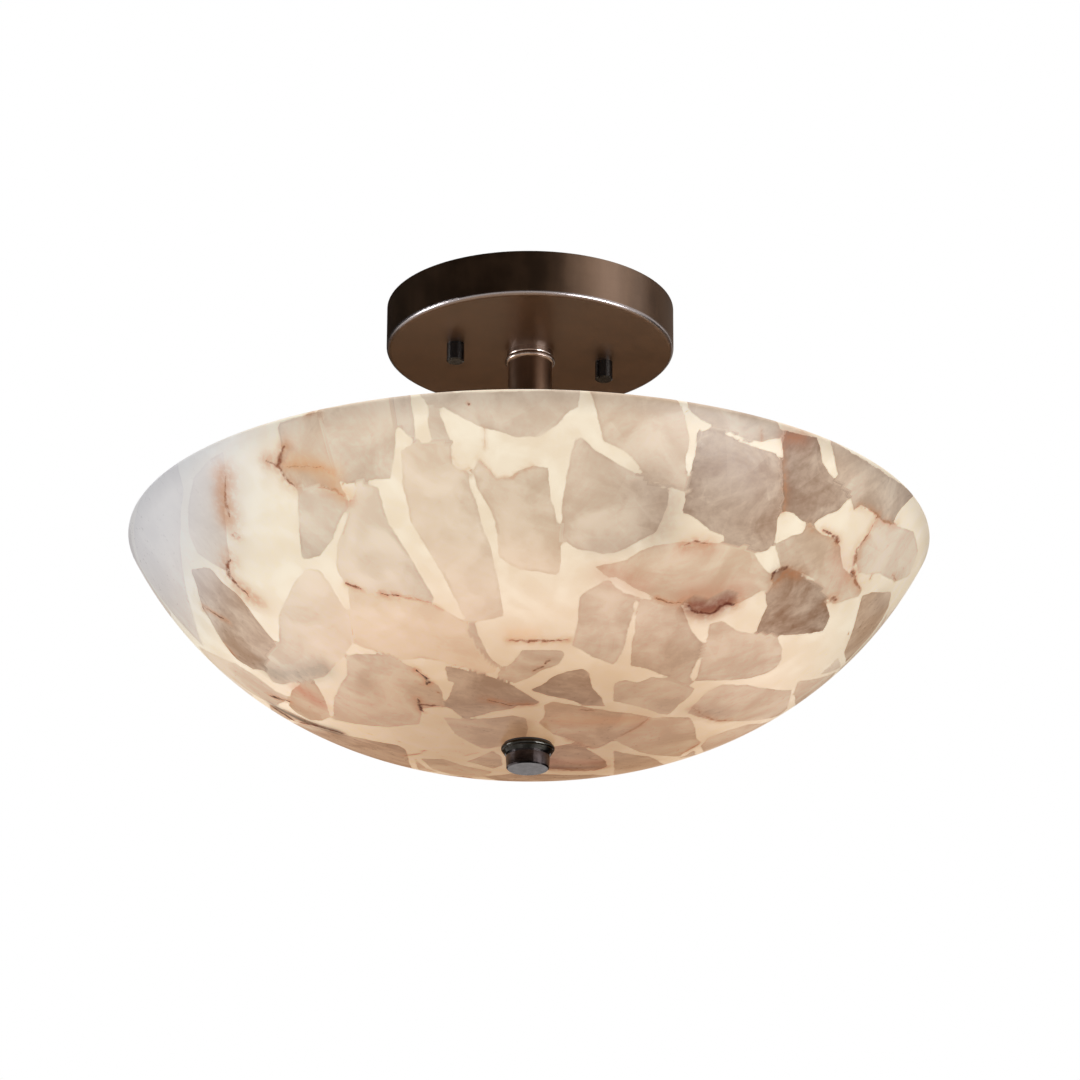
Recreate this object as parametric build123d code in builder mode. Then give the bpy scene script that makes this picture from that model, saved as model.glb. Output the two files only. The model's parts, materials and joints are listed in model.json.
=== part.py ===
"""Semi flush ceiling light with a stone and resin bowl on a single stem.

The origin is on the ceiling, on the axis of the stem. +Z points up into the ceiling, so the whole
light hangs below the origin. The two canopy knobs and the two lamp sockets lie along X.
Everything is in millimetres.
"""

import os
from math import acos, cos, radians, sin, sqrt, tan

from build123d import *

os.makedirs("parts", exist_ok=True)

# ---------------------------------------------------------------- driving dimensions

# bowl
bowl_radius = 177.8  # 14 inch bowl, over its rounded rim
bowl_rim_drop = 114.0  # from the ceiling to the bowl's rim
bowl_depth = 93.5  # from the rim to the underside of the foot
bowl_foot_radius = 25.4  # flat spot under and over the seat
bowl_wall = 6.0
bowl_rim_round = 1.2
bowl_rim_corner = 178.56  # where the rim's outer corner would be without its rounding
bowl_hole_radius = 5.6

# canopy and its strap
canopy_radius = 65.0
canopy_height = 21.0
canopy_wall = 1.2
canopy_edge_round = 2.2
stud_spacing = 70.0
stud_radius = 2.08
stud_hole_radius = 2.4
knob_radius = 4.0
knob_height = 8.6
knob_bore_depth = 7.0
strap_length = 108.0
strap_width = 20.0
strap_thickness = 2.0
box_screw_spacing = 88.9  # 3.5 inch ceiling box
box_slot_length = 12.0
box_slot_width = 5.0

# stem
stem_radius = 10.0
stem_wall = 1.5
stem_bottom_z = -127.0
collar_radius = 11.4
collar_height = 5.6
collar_floor = 1.0
plug_length = 18.0

# threaded pipe (1/8 inch lamp pipe) and its nuts
pipe_radius = 4.8
pipe_bore_radius = 3.2
pipe_hole_radius = 5.0
thread_gap = 0.05
nut_flats = 14.0
nut_height = 3.6
lock_washer_height = 0.8
lock_washer_radius = 8.0

# socket cluster
cluster_radius = 24.0
cluster_wall = 1.2
cluster_height = 26.0
cluster_floor = 1.6
cluster_lip = 4.3
socket_axis_z = -140.0

# sockets and lamps, as distances from the stem's axis along X
nipple_start = 17.0
nipple_end = 32.0
socket_start = 24.1
socket_shoulder = 28.0
socket_pocket = 34.0  # end of the wire space behind the socket's floor
socket_floor = 37.0
socket_mouth = 66.0
socket_radius = 19.5
socket_lip_radius = 20.6
shell_radius = 13.48
shell_wall = 0.4
lamp_tip = 40.6
lamp_base_start = 45.0
lamp_base_end = 66.0
lamp_base_radius = 13.0
lamp_thread_pitch = 3.6
lamp_thread_turns = 5
lamp_globe_radius = 24.0
lamp_globe_centre = 104.0
lamp_glass_wall = 0.9
lamp_neck_radius = 12.3
lamp_flare_radius = 18.0
lamp_flare_angle = 25.0

# bowl seat and finial
gasket_radius = 15.0
gasket_height = 2.0
seat_washer_radius = 16.0
seat_washer_height = 1.5
sliding_bore_radius = 4.9
lower_gasket_radius = 10.6
lower_gasket_height = 0.8
flange_radius = 11.8
flange_height = 4.0
finial_radius = 9.75
finial_height = 6.5
finial_bore_depth = 4.0
rod_top_z = -146.6

# leads
lead_radius = 0.8
lead_offset_x = 1.3  # places of the four leads inside the pipe's bore
lead_offset_y = 1.9
lead_turn_z = -8.0  # where the leads turn level inside the canopy
connector_start = 20.0
connector_length = 22.0
connector_bore_depth = 11.0
rivet_offset = 2.6  # from the socket's axis, one toward +Y and one toward -Y
rivet_head_radius = 1.3
rivet_shank_radius = 0.8

# ---------------------------------------------------------------- heights that follow

canopy_face_z = -canopy_height
canopy_floor_z = canopy_face_z + canopy_wall
bowl_rim_z = -bowl_rim_drop
bowl_foot_z = bowl_rim_z - bowl_depth
bowl_seat_z = bowl_foot_z + bowl_wall
stem_top_z = canopy_face_z - collar_floor
cluster_bottom_z = stem_bottom_z - cluster_height
cluster_floor_z = cluster_bottom_z + cluster_floor
lid_bottom_z = stem_bottom_z - cluster_wall
gasket_top_z = bowl_seat_z + gasket_height
seat_washer_top_z = gasket_top_z + seat_washer_height
flange_top_z = bowl_foot_z - lower_gasket_height
finial_top_z = flange_top_z - flange_height
finial_bottom_z = finial_top_z - finial_height
rod_bottom_z = finial_top_z - finial_bore_depth + 0.4
tapped_radius = pipe_radius + thread_gap

nodes = []


def keep(part, label):
    """Names a finished piece and writes it to its own file."""
    part.label = label
    nodes.append(part)
    export_step(part, f"parts/{label}.step")


# ---------------------------------------------------------------- repeated shapes


def ring(outer, inner, top, height):
    """A flat ring or a tube on the stem's axis, hanging down from its top."""
    with BuildPart() as piece:
        with BuildSketch(Plane.XY.offset(top - height)):
            Circle(outer)
            Circle(inner, mode=Mode.SUBTRACT)
        extrude(amount=height)
    return piece.part


def hex_nut(plane, height, flats=nut_flats, bore=tapped_radius, turn=0):
    """A hexagonal nut standing on a plane, with chamfered corners."""
    corner = flats / sqrt(3)
    with BuildPart() as piece:
        with BuildSketch(plane):
            RegularPolygon(corner, 6, rotation=turn)
            Circle(bore, mode=Mode.SUBTRACT)
        extrude(amount=height)
        with BuildSketch(plane):
            Circle(corner - 0.35)
        extrude(amount=height, taper=-6, mode=Mode.INTERSECT)
    return piece.part


def pipe(plane, length):
    """A length of lamp pipe with chamfered ends."""
    with BuildPart() as piece:
        with BuildSketch(plane):
            Circle(pipe_radius)
            Circle(pipe_bore_radius, mode=Mode.SUBTRACT)
        extrude(amount=length)
        chamfer(piece.edges().filter_by(GeomType.CIRCLE).group_by(lambda e: e.radius)[-1], 0.4)
    return piece.part


def across(side, distance):
    """The plane across a socket's axis, at a distance from the stem, facing out. Its x is +Y."""
    return Plane(origin=(side * distance, 0, socket_axis_z), x_dir=(0, 1, 0), z_dir=(side, 0, 0))


def along(side):
    """The plane through a socket's axis: its x runs out from the stem and its y is the radius."""
    return Plane(origin=(0, 0, socket_axis_z), x_dir=(side, 0, 0), z_dir=(0, -side, 0))


socket_axis = Axis((0, 0, socket_axis_z), (1, 0, 0))


def turned(side, *outline):
    """A piece turned about a socket's axis, from its outline of (distance, radius) points."""
    with BuildPart() as piece:
        with BuildSketch(along(side)):
            with BuildLine():
                Polyline(*outline, close=True)
            make_face()
        revolve(axis=socket_axis)
    return piece.part


def lead(points, corner_radii, radius=lead_radius):
    """An insulated lead: straight runs joined by tangent arcs."""
    with BuildPart() as piece:
        with BuildLine() as route:
            FilletPolyline(*points, radius=corner_radii)
        with BuildSketch(Plane(origin=route.line @ 0, z_dir=route.line % 0)):
            Circle(radius)
        sweep()
    return piece.part


# ---------------------------------------------------------------- ceiling strap

ground_screw_x = -20.0
ground_shank_radius = 1.8

with BuildPart() as strap:
    with BuildSketch(Plane.XY.offset(-strap_thickness)):
        SlotOverall(strap_length, strap_width)
        with Locations((-box_screw_spacing / 2, 0), (box_screw_spacing / 2, 0)):
            SlotOverall(box_slot_length, box_slot_width, mode=Mode.SUBTRACT)
        with Locations((-stud_spacing / 2, 0), (stud_spacing / 2, 0)):
            Circle(stud_radius + thread_gap, mode=Mode.SUBTRACT)
        with Locations((ground_screw_x, 0)):
            Circle(ground_shank_radius + thread_gap, mode=Mode.SUBTRACT)
        Circle(pipe_hole_radius, mode=Mode.SUBTRACT)
    extrude(amount=strap_thickness)
keep(strap.part, "mounting_strap")

# Two headless studs come down from the strap, through the canopy and into the knobs.
stud_end_z = canopy_face_z - knob_bore_depth + 0.5
with BuildPart() as studs:
    with BuildSketch(Plane.XY.offset(stud_end_z)):
        with Locations((-stud_spacing / 2, 0), (stud_spacing / 2, 0)):
            Circle(stud_radius)
    extrude(amount=-stud_end_z)
    chamfer(studs.faces().group_by(Axis.Z)[0].edges(), 0.4)
keep(studs.part, "strap_studs")

stud_nut_height = 3.2
stud_nut_flats = 8.7
stud_nuts = [
    hex_nut(
        Plane((x, 0, -strap_thickness - stud_nut_height)),
        stud_nut_height,
        stud_nut_flats,
        stud_radius + thread_gap,
        30,
    )
    for x in (-stud_spacing / 2, stud_spacing / 2)
]
keep(Compound(children=stud_nuts), "stud_locknuts")

# ---------------------------------------------------------------- ground wire

hook_top_z = -strap_thickness - 0.05
hook_height = 1.8
hook_radius = 3.2
screw_head_radius = 3.6
screw_head_height = 2.5
terminal_top_z = canopy_floor_z + canopy_wall + lock_washer_height
barrel_z = terminal_top_z + 1.6
barrel_radius = 2.0
ground_loop_x = -28.0

with BuildPart() as ground_screw:
    with BuildSketch(Plane.XY.offset(hook_top_z - hook_height - screw_head_height)):
        with Locations((ground_screw_x, 0)):
            RegularPolygon(screw_head_radius, 6)
    extrude(amount=screw_head_height)
    with BuildSketch(Plane.XY.offset(hook_top_z - hook_height)):
        with Locations((ground_screw_x, 0)):
            Circle(ground_shank_radius)
    extrude(amount=hook_height - hook_top_z)
keep(ground_screw.part, "ground_screw")

ground_height = hook_top_z - hook_height / 2
ground_run = lead(
    [
        (-14.0, 0, barrel_z),
        (ground_loop_x, 0, barrel_z),
        (ground_loop_x, 0, ground_height),
        (ground_screw_x - 2.6, 0, ground_height),
    ],
    [4.0, 3.0],
)
with BuildPart() as ground_lead:
    add(ground_run)
    with BuildSketch(Plane.XY.offset(hook_top_z - hook_height)):
        with Locations((ground_screw_x, 0)):
            Circle(hook_radius)
            Circle(ground_shank_radius + 0.1, mode=Mode.SUBTRACT)
    extrude(amount=hook_height)
keep(ground_lead.part, "ground_lead")

# A ring terminal clamped round the top nipple, with a barrel crimped on the ground wire.
with BuildPart() as terminal:
    with BuildSketch(Plane.XY.offset(terminal_top_z - lock_washer_height)):
        Circle(lock_washer_radius)
        with Locations((-11.0, 0)):
            Rectangle(9.0, 4.0)
        Circle(pipe_hole_radius, mode=Mode.SUBTRACT)
    extrude(amount=lock_washer_height)
    with BuildSketch(Plane(origin=(-18.0, 0, barrel_z), x_dir=(0, 1, 0), z_dir=(1, 0, 0))):
        Circle(barrel_radius)
    extrude(amount=5.0)
    with BuildSketch(Plane(origin=(-18.0, 0, barrel_z), x_dir=(0, 1, 0), z_dir=(1, 0, 0))):
        Circle(lead_radius + thread_gap)
    extrude(amount=4.5, mode=Mode.SUBTRACT)
keep(terminal.part, "ground_terminal")

# ---------------------------------------------------------------- canopy

with BuildPart() as canopy:
    with BuildSketch(Plane.XY.offset(canopy_face_z)):
        Circle(canopy_radius)
    extrude(amount=canopy_height)
    fillet(canopy.faces().sort_by(Axis.Z)[0].edges(), canopy_edge_round)
    offset(amount=-canopy_wall, openings=canopy.faces().sort_by(Axis.Z)[-1])
    with BuildSketch(Plane.XY.offset(canopy_face_z)):
        Circle(pipe_hole_radius)
        with Locations((-stud_spacing / 2, 0), (stud_spacing / 2, 0)):
            Circle(stud_hole_radius)
    extrude(amount=canopy_wall, mode=Mode.SUBTRACT)
keep(canopy.part, "canopy")

for side, name in ((-1, "canopy_knob_left"), (1, "canopy_knob_right")):
    with BuildPart() as knob:
        with BuildSketch(Plane((side * stud_spacing / 2, 0, canopy_face_z - knob_height))):
            Circle(knob_radius)
        extrude(amount=knob_height)
        chamfer(knob.faces().sort_by(Axis.Z)[0].edges(), 0.5)
        with Locations(Plane((side * stud_spacing / 2, 0, canopy_face_z))):
            Hole(stud_radius + 0.07, depth=knob_bore_depth)
    keep(knob.part, name)

# ---------------------------------------------------------------- top of the stem

keep(ring(15.0, pipe_hole_radius, canopy_floor_z + canopy_wall, canopy_wall), "canopy_washer")
lock_washer_top_z = terminal_top_z + lock_washer_height
keep(
    ring(lock_washer_radius, pipe_hole_radius, lock_washer_top_z, lock_washer_height),
    "top_lock_washer",
)
keep(hex_nut(Plane.XY.offset(lock_washer_top_z), nut_height), "top_nut")
top_nipple_top_z = lock_washer_top_z + nut_height + 0.8
top_nipple_bottom_z = stem_top_z - plug_length + 1.0
keep(
    pipe(Plane.XY.offset(top_nipple_bottom_z), top_nipple_top_z - top_nipple_bottom_z),
    "top_nipple",
)

# The collar is a shallow cup over the stem's top end, with a rounded lower bead.
bead_radius = 1.5
with BuildPart() as collar:
    with BuildSketch(Plane.XZ):
        with BuildLine():
            bead_top = canopy_face_z - collar_height + 2 * bead_radius
            Polyline(
                (pipe_hole_radius, canopy_face_z),
                (collar_radius - 0.9, canopy_face_z),
                (collar_radius - 0.9, bead_top + 0.4),
                (collar_radius - bead_radius + 0.4, bead_top),
            )
            ThreePointArc(
                (collar_radius - bead_radius + 0.4, bead_top),
                (collar_radius, bead_top - bead_radius),
                (collar_radius - bead_radius + 0.4, bead_top - 2 * bead_radius),
            )
            Polyline(
                (collar_radius - bead_radius + 0.4, bead_top - 2 * bead_radius),
                (stem_radius + thread_gap, bead_top - 2 * bead_radius),
                (stem_radius + thread_gap, stem_top_z),
                (pipe_hole_radius, stem_top_z),
                (pipe_hole_radius, canopy_face_z),
            )
        make_face()
    revolve(axis=Axis.Z)
keep(collar.part, "stem_collar")

stem_bore_radius = stem_radius - stem_wall
keep(ring(stem_radius, stem_bore_radius, stem_top_z, stem_top_z - stem_bottom_z), "stem_tube")
plug_radius = stem_bore_radius - thread_gap
keep(ring(plug_radius, tapped_radius, stem_top_z, plug_length), "stem_top_plug")
keep(
    ring(plug_radius, tapped_radius, stem_bottom_z + plug_length, plug_length),
    "stem_bottom_plug",
)

# ---------------------------------------------------------------- socket cluster

cluster_nut_z = lid_bottom_z - lock_washer_height - nut_height
cluster_nipple_bottom_z = cluster_nut_z - 0.8
cluster_nipple_top_z = stem_bottom_z + plug_length - 4.0
keep(
    pipe(
        Plane.XY.offset(cluster_nipple_bottom_z), cluster_nipple_top_z - cluster_nipple_bottom_z
    ),
    "cluster_nipple",
)
keep(
    ring(lock_washer_radius, pipe_hole_radius, lid_bottom_z, lock_washer_height),
    "cluster_lock_washer",
)
keep(hex_nut(Plane.XY.offset(cluster_nut_z), nut_height), "cluster_nut")

cover_screw_radius = 1.4
cover_screw_z = lid_bottom_z - 2.4
cluster_bore_radius = cluster_radius - cluster_wall
lip_radius = cluster_bore_radius - 0.1


def screw_line(distance):
    """The plane across the cover screws' common axis, facing +Y."""
    return Plane(origin=(0, distance, cover_screw_z), x_dir=(1, 0, 0), z_dir=(0, 1, 0))


with BuildPart() as lid:
    with BuildSketch(Plane.XY.offset(lid_bottom_z)):
        Circle(cluster_radius)
        Circle(pipe_hole_radius, mode=Mode.SUBTRACT)
    extrude(amount=cluster_wall)
    chamfer(lid.faces().sort_by(Axis.Z)[-1].edges().sort_by(SortBy.RADIUS)[-1], 0.5)
    with BuildSketch(Plane.XY.offset(lid_bottom_z - cluster_lip)):
        Circle(lip_radius)
        Circle(lip_radius - 1.0, mode=Mode.SUBTRACT)
    extrude(amount=cluster_lip)
    with BuildSketch(screw_line(-cluster_radius)):
        Circle(cover_screw_radius + thread_gap)
    extrude(amount=2 * cluster_radius, mode=Mode.SUBTRACT)
keep(lid.part, "cluster_lid")

with BuildPart() as cluster:
    with BuildSketch(Plane.XY.offset(cluster_bottom_z)):
        Circle(cluster_radius)
    extrude(amount=lid_bottom_z - cluster_bottom_z)
    fillet(cluster.faces().sort_by(Axis.Z)[0].edges(), 1.0)
    with BuildSketch(Plane.XY.offset(cluster_floor_z)):
        Circle(cluster_bore_radius)
    extrude(amount=lid_bottom_z - cluster_floor_z, mode=Mode.SUBTRACT)
    with BuildSketch(Plane.XY.offset(cluster_bottom_z)):
        Circle(pipe_hole_radius)
    extrude(amount=cluster_floor, mode=Mode.SUBTRACT)
    with BuildSketch(across(1, -cluster_radius)):
        Circle(pipe_hole_radius)
    extrude(amount=2 * cluster_radius, mode=Mode.SUBTRACT)
    with BuildSketch(screw_line(-cluster_radius)):
        Circle(cover_screw_radius + 0.3)
    extrude(amount=2 * cluster_radius, mode=Mode.SUBTRACT)
keep(cluster.part, "cluster_body")

cover_screws = []
for side in (-1, 1):
    with BuildPart() as screw:
        with BuildSketch(screw_line(side * (lip_radius - 2.2))):
            Circle(cover_screw_radius)
        extrude(amount=side * (cluster_radius - lip_radius + 2.2))
        with BuildSketch(screw_line(side * cluster_radius)):
            Circle(2 * cover_screw_radius)
        extrude(amount=side * 1.8)
        fillet(screw.faces().sort_by(Axis.Y)[-1 if side > 0 else 0].edges(), 0.4)
    cover_screws.append(screw.part)
keep(Compound(children=cover_screws), "cluster_screws")

# ---------------------------------------------------------------- sockets and lamps

socket_nut_half = nut_flats / sqrt(3)
socket_nut_height = 3.4
socket_nut_end = sqrt(cluster_bore_radius**2 - socket_nut_half**2) - 0.05
socket_nuts = []
shell_bore_radius = shell_radius - shell_wall
foot_height = 0.4
rivet_back = socket_pocket - 0.8
rivet_front = socket_floor + foot_height

for side, name in ((-1, "left"), (1, "right")):
    keep(pipe(across(side, nipple_start), nipple_end - nipple_start), f"socket_nipple_{name}")
    socket_nuts.append(hex_nut(across(side, socket_nut_end - socket_nut_height), socket_nut_height))

    # porcelain body, bored for the lamp in front and for the nipple behind
    with BuildPart() as body:
        with BuildSketch(along(side)):
            with BuildLine():
                Polyline(
                    (socket_start, tapped_radius),
                    (socket_start, 9.0),
                    (socket_shoulder, 9.0),
                    (socket_shoulder + 1.5, 12.0),
                    (socket_shoulder + 7.5, socket_radius - 1.0),
                    (socket_shoulder + 9.0, socket_radius),
                    (socket_mouth - 4.0, socket_radius),
                    (socket_mouth - 3.0, socket_lip_radius),
                    (socket_mouth - 0.6, socket_lip_radius),
                    (socket_mouth, socket_lip_radius - 0.6),
                    (socket_mouth, shell_radius + 0.1),
                    (socket_floor, shell_radius + 0.1),
                    (socket_floor, 0.0),
                    (socket_pocket, 0.0),
                    (socket_pocket, tapped_radius),
                    close=True,
                )
            make_face()
        revolve(axis=socket_axis)
        with BuildSketch(across(side, socket_pocket)):
            with Locations((rivet_offset, 0), (-rivet_offset, 0)):
                Circle(rivet_shank_radius)
        extrude(amount=socket_floor - socket_pocket, mode=Mode.SUBTRACT)
    keep(body.part, f"socket_body_{name}")

    # two rivets carry the current through the porcelain floor
    with BuildPart() as rivets:
        with BuildSketch(across(side, rivet_back)):
            with Locations((rivet_offset, 0), (-rivet_offset, 0)):
                Circle(rivet_head_radius)
        extrude(amount=socket_pocket - rivet_back)
        with BuildSketch(across(side, socket_pocket)):
            with Locations((rivet_offset, 0), (-rivet_offset, 0)):
                Circle(rivet_shank_radius)
        extrude(amount=rivet_front - socket_pocket)
        with BuildSketch(across(side, rivet_front)):
            with Locations((rivet_offset, 0), (-rivet_offset, 0)):
                Circle(rivet_head_radius)
        extrude(amount=0.4)
    keep(rivets.part, f"socket_rivets_{name}")

    # brass screw shell, with a tongue across the floor to the rivet toward -Y
    with BuildPart() as shell:
        with BuildSketch(across(side, socket_floor)):
            Circle(shell_radius)
            Circle(shell_bore_radius, mode=Mode.SUBTRACT)
        extrude(amount=socket_mouth - 1.0 - socket_floor)
        with BuildSketch(across(side, socket_floor)):
            Circle(shell_radius)
            Circle(7.0, mode=Mode.SUBTRACT)
            with Locations((-4.5, 0)):
                Rectangle(6.4, 3.6)
            with Locations((-rivet_offset, 0)):
                Circle(rivet_shank_radius, mode=Mode.SUBTRACT)
        extrude(amount=foot_height)
    keep(shell.part, f"socket_shell_{name}")

    # sprung brass leaf from the rivet toward +Y to the tip of the lamp
    leaf_face = lamp_tip - 0.05
    with BuildPart() as contact:
        with BuildSketch(
            Plane(
                origin=(0, 0, socket_axis_z - side * 1.8), x_dir=(side, 0, 0), z_dir=(0, 0, side)
            )
        ):
            with BuildLine():
                Polyline(
                    (socket_floor, 1.3),
                    (socket_floor, 5.5),
                    (socket_floor + 0.6, 5.7),
                    (leaf_face, 1.2),
                    (leaf_face, -1.6),
                    (leaf_face - 0.4, -1.6),
                    (leaf_face - 0.4, 1.0),
                    (rivet_front + 0.15, 5.0),
                    (rivet_front, 4.9),
                    (rivet_front, 1.3),
                    close=True,
                )
            make_face()
        extrude(amount=3.6)
        with BuildSketch(across(side, socket_floor)):
            with Locations((rivet_offset, 0)):
                Circle(rivet_shank_radius)
        extrude(amount=foot_height, mode=Mode.SUBTRACT)
    keep(contact.part, f"socket_contact_{name}")

    # lamp: tip, insulator, screw base and glass
    with BuildPart() as tip:
        with BuildSketch(along(side)):
            with BuildLine():
                ThreePointArc((lamp_tip, 0), (lamp_tip + 0.35, 2.4), (lamp_tip + 1.6, 4.2))
                Polyline((lamp_tip + 1.6, 4.2), (lamp_tip + 1.6, 0), (lamp_tip, 0))
            make_face()
        revolve(axis=socket_axis)
    keep(tip.part, f"lamp_tip_{name}")

    insulator = turned(
        side,
        (lamp_tip + 1.6, 0),
        (lamp_tip + 1.6, 4.9),
        (lamp_base_start - 0.2, 9.4),
        (lamp_base_start + 1.0, 9.4),
        (lamp_base_start + 1.0, 0),
    )
    keep(insulator, f"lamp_insulator_{name}")

    root_radius = lamp_base_radius - 0.35
    thread_start = lamp_base_end - 1.0 - lamp_thread_turns * lamp_thread_pitch
    with BuildPart() as base:
        with BuildSketch(along(side)):
            with BuildLine():
                Polyline(
                    (lamp_base_end, lamp_neck_radius),
                    (thread_start + 0.2, lamp_neck_radius),
                    (lamp_base_start + 0.4, 9.4),
                    (lamp_base_start, 9.4),
                    (thread_start, root_radius),
                )
                for turn in range(lamp_thread_turns):
                    foot = thread_start + turn * lamp_thread_pitch
                    ThreePointArc(
                        (foot, root_radius),
                        (foot + lamp_thread_pitch / 2, lamp_base_radius),
                        (foot + lamp_thread_pitch, root_radius),
                    )
                Polyline(
                    (lamp_base_end - 1.0, root_radius),
                    (lamp_base_end, root_radius),
                    (lamp_base_end, lamp_neck_radius),
                )
            make_face()
        revolve(axis=socket_axis)
    keep(base.part, f"lamp_base_{name}")

    # the glass: a straight neck, a short flare, a cone and a round end
    slope = radians(lamp_flare_angle)
    cone_end = (
        lamp_globe_centre - lamp_globe_radius * sin(slope),
        lamp_globe_radius * cos(slope),
    )
    flare_rise = lamp_flare_radius * (1 - cos(slope))
    cone_run = (cone_end[1] - lamp_neck_radius - flare_rise) / tan(slope)
    neck_end = cone_end[0] - cone_run - lamp_flare_radius * sin(slope)
    neck_start = lamp_base_end - 4.0
    with BuildPart() as glass:
        with BuildSketch(along(side)):
            with BuildLine():
                Line((neck_start, lamp_neck_radius), (neck_end, lamp_neck_radius))
                flare = JernArc(
                    (neck_end, lamp_neck_radius), (1, 0), lamp_flare_radius, lamp_flare_angle
                )
                Line(flare @ 1, cone_end)
                ThreePointArc(
                    cone_end,
                    (
                        lamp_globe_centre + lamp_globe_radius * cos(radians(50)),
                        lamp_globe_radius * sin(radians(50)),
                    ),
                    (lamp_globe_centre + lamp_globe_radius, 0),
                )
                Polyline(
                    (lamp_globe_centre + lamp_globe_radius, 0),
                    (neck_start, 0),
                    (neck_start, lamp_neck_radius),
                )
            make_face()
        revolve(axis=socket_axis)
        open_end = glass.faces().filter_by(GeomType.PLANE)
        offset(amount=-lamp_glass_wall, openings=open_end)
    keep(glass.part, f"lamp_glass_{name}")

keep(Compound(children=socket_nuts), "socket_locknuts")

# ---------------------------------------------------------------- leads and their connectors

for color, row in (("black", 1), ("white", -1)):
    y = row * lead_offset_y
    for side, name in ((-1, "left"), (1, "right")):
        x = side * lead_offset_x
        run = lead(
            [
                (side * rivet_back, y, socket_axis_z),
                (x, y, socket_axis_z),
                (x, y, lead_turn_z),
                (x, row * (connector_start + 10.0), lead_turn_z),
            ],
            [6.0, 4.0],
        )
        keep(run, f"{color}_lead_{name}")

    # twist-on connector: a tapered cap with a bore for the two leads
    connector_end = connector_start + connector_length
    bore_end = connector_start + connector_bore_depth
    bore_radius = lead_offset_x + lead_radius + thread_gap
    with BuildPart() as connector:
        with BuildSketch(Plane.YZ):
            with BuildLine():
                Polyline(
                    (row * connector_start, lead_turn_z + bore_radius),
                    (row * connector_start, lead_turn_z + 6.2),
                    (row * (connector_start + 1.0), lead_turn_z + 6.6),
                    (row * (connector_start + 5.0), lead_turn_z + 6.4),
                    (row * (connector_end - 3.0), lead_turn_z + 4.2),
                    (row * connector_end, lead_turn_z + 2.6),
                    (row * connector_end, lead_turn_z),
                    (row * bore_end, lead_turn_z),
                    (row * bore_end, lead_turn_z + bore_radius),
                    close=True,
                )
            make_face()
        revolve(axis=Axis((0, 0, lead_turn_z), (0, 1, 0)))
    keep(connector.part, f"wire_connector_{color}")

# ---------------------------------------------------------------- rod down to the finial

keep(pipe(Plane.XY.offset(rod_bottom_z), rod_top_z - rod_bottom_z), "bottom_rod")
rod_nuts = [
    hex_nut(Plane.XY.offset(cluster_floor_z), nut_height),
    hex_nut(Plane.XY.offset(cluster_bottom_z - nut_height), nut_height),
]
keep(Compound(children=rod_nuts), "rod_nuts")
keep(hex_nut(Plane.XY.offset(seat_washer_top_z), nut_height, turn=15), "bowl_stop_nut")

# ---------------------------------------------------------------- bowl and its seat

keep(
    ring(seat_washer_radius, sliding_bore_radius, seat_washer_top_z, seat_washer_height),
    "bowl_washer",
)
keep(ring(gasket_radius, sliding_bore_radius, gasket_top_z, gasket_height), "bowl_gasket")

# The outside is a flat foot and one arc tangent to it. The inside runs parallel, a wall away.
bowl_run = bowl_rim_corner - bowl_foot_radius
bowl_arc_radius = (bowl_run**2 + bowl_depth**2) / (2 * bowl_depth)
bowl_arc_centre_z = bowl_foot_z + bowl_arc_radius


def arc_point(radius, angle):
    """A point on an arc about the bowl's arc centre, at an angle from straight down."""
    return (bowl_foot_radius + radius * sin(angle), bowl_arc_centre_z - radius * cos(angle))


inner_arc_radius = bowl_arc_radius - bowl_wall
outer_end = acos((bowl_arc_centre_z - bowl_rim_z) / bowl_arc_radius)
inner_end = acos((bowl_arc_centre_z - bowl_rim_z) / inner_arc_radius)
with BuildPart() as bowl:
    with BuildSketch(Plane.XZ) as bowl_section:
        with BuildLine():
            Line((bowl_hole_radius, bowl_foot_z), (bowl_foot_radius, bowl_foot_z))
            ThreePointArc(
                arc_point(bowl_arc_radius, 0),
                arc_point(bowl_arc_radius, outer_end / 2),
                arc_point(bowl_arc_radius, outer_end),
            )
            Line(arc_point(bowl_arc_radius, outer_end), arc_point(inner_arc_radius, inner_end))
            ThreePointArc(
                arc_point(inner_arc_radius, inner_end),
                arc_point(inner_arc_radius, inner_end / 2),
                arc_point(inner_arc_radius, 0),
            )
            Polyline(
                (bowl_foot_radius, bowl_seat_z),
                (bowl_hole_radius, bowl_seat_z),
                (bowl_hole_radius, bowl_foot_z),
            )
        make_face()
        fillet(bowl_section.vertices().group_by(Axis.Y)[-1], bowl_rim_round)
    revolve(axis=Axis.Z)
keep(bowl.part, "bowl")

# ---------------------------------------------------------------- finial

keep(
    ring(lower_gasket_radius, sliding_bore_radius, bowl_foot_z, lower_gasket_height),
    "finial_gasket",
)

# flange: a rounded band over a sloping underside
with BuildPart() as flange:
    with BuildSketch(Plane.XZ):
        with BuildLine():
            Line((sliding_bore_radius, flange_top_z), (flange_radius - 1.0, flange_top_z))
            ThreePointArc(
                (flange_radius - 1.0, flange_top_z),
                (flange_radius, flange_top_z - 1.1),
                (flange_radius - 0.6, flange_top_z - 2.2),
            )
            Polyline(
                (flange_radius - 0.6, flange_top_z - 2.2),
                (flange_radius - 0.6, flange_top_z - 2.5),
                (finial_radius + 0.4, finial_top_z),
                (sliding_bore_radius, finial_top_z),
                (sliding_bore_radius, flange_top_z),
            )
        make_face()
    revolve(axis=Axis.Z)
keep(flange.part, "finial_flange")

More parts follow.
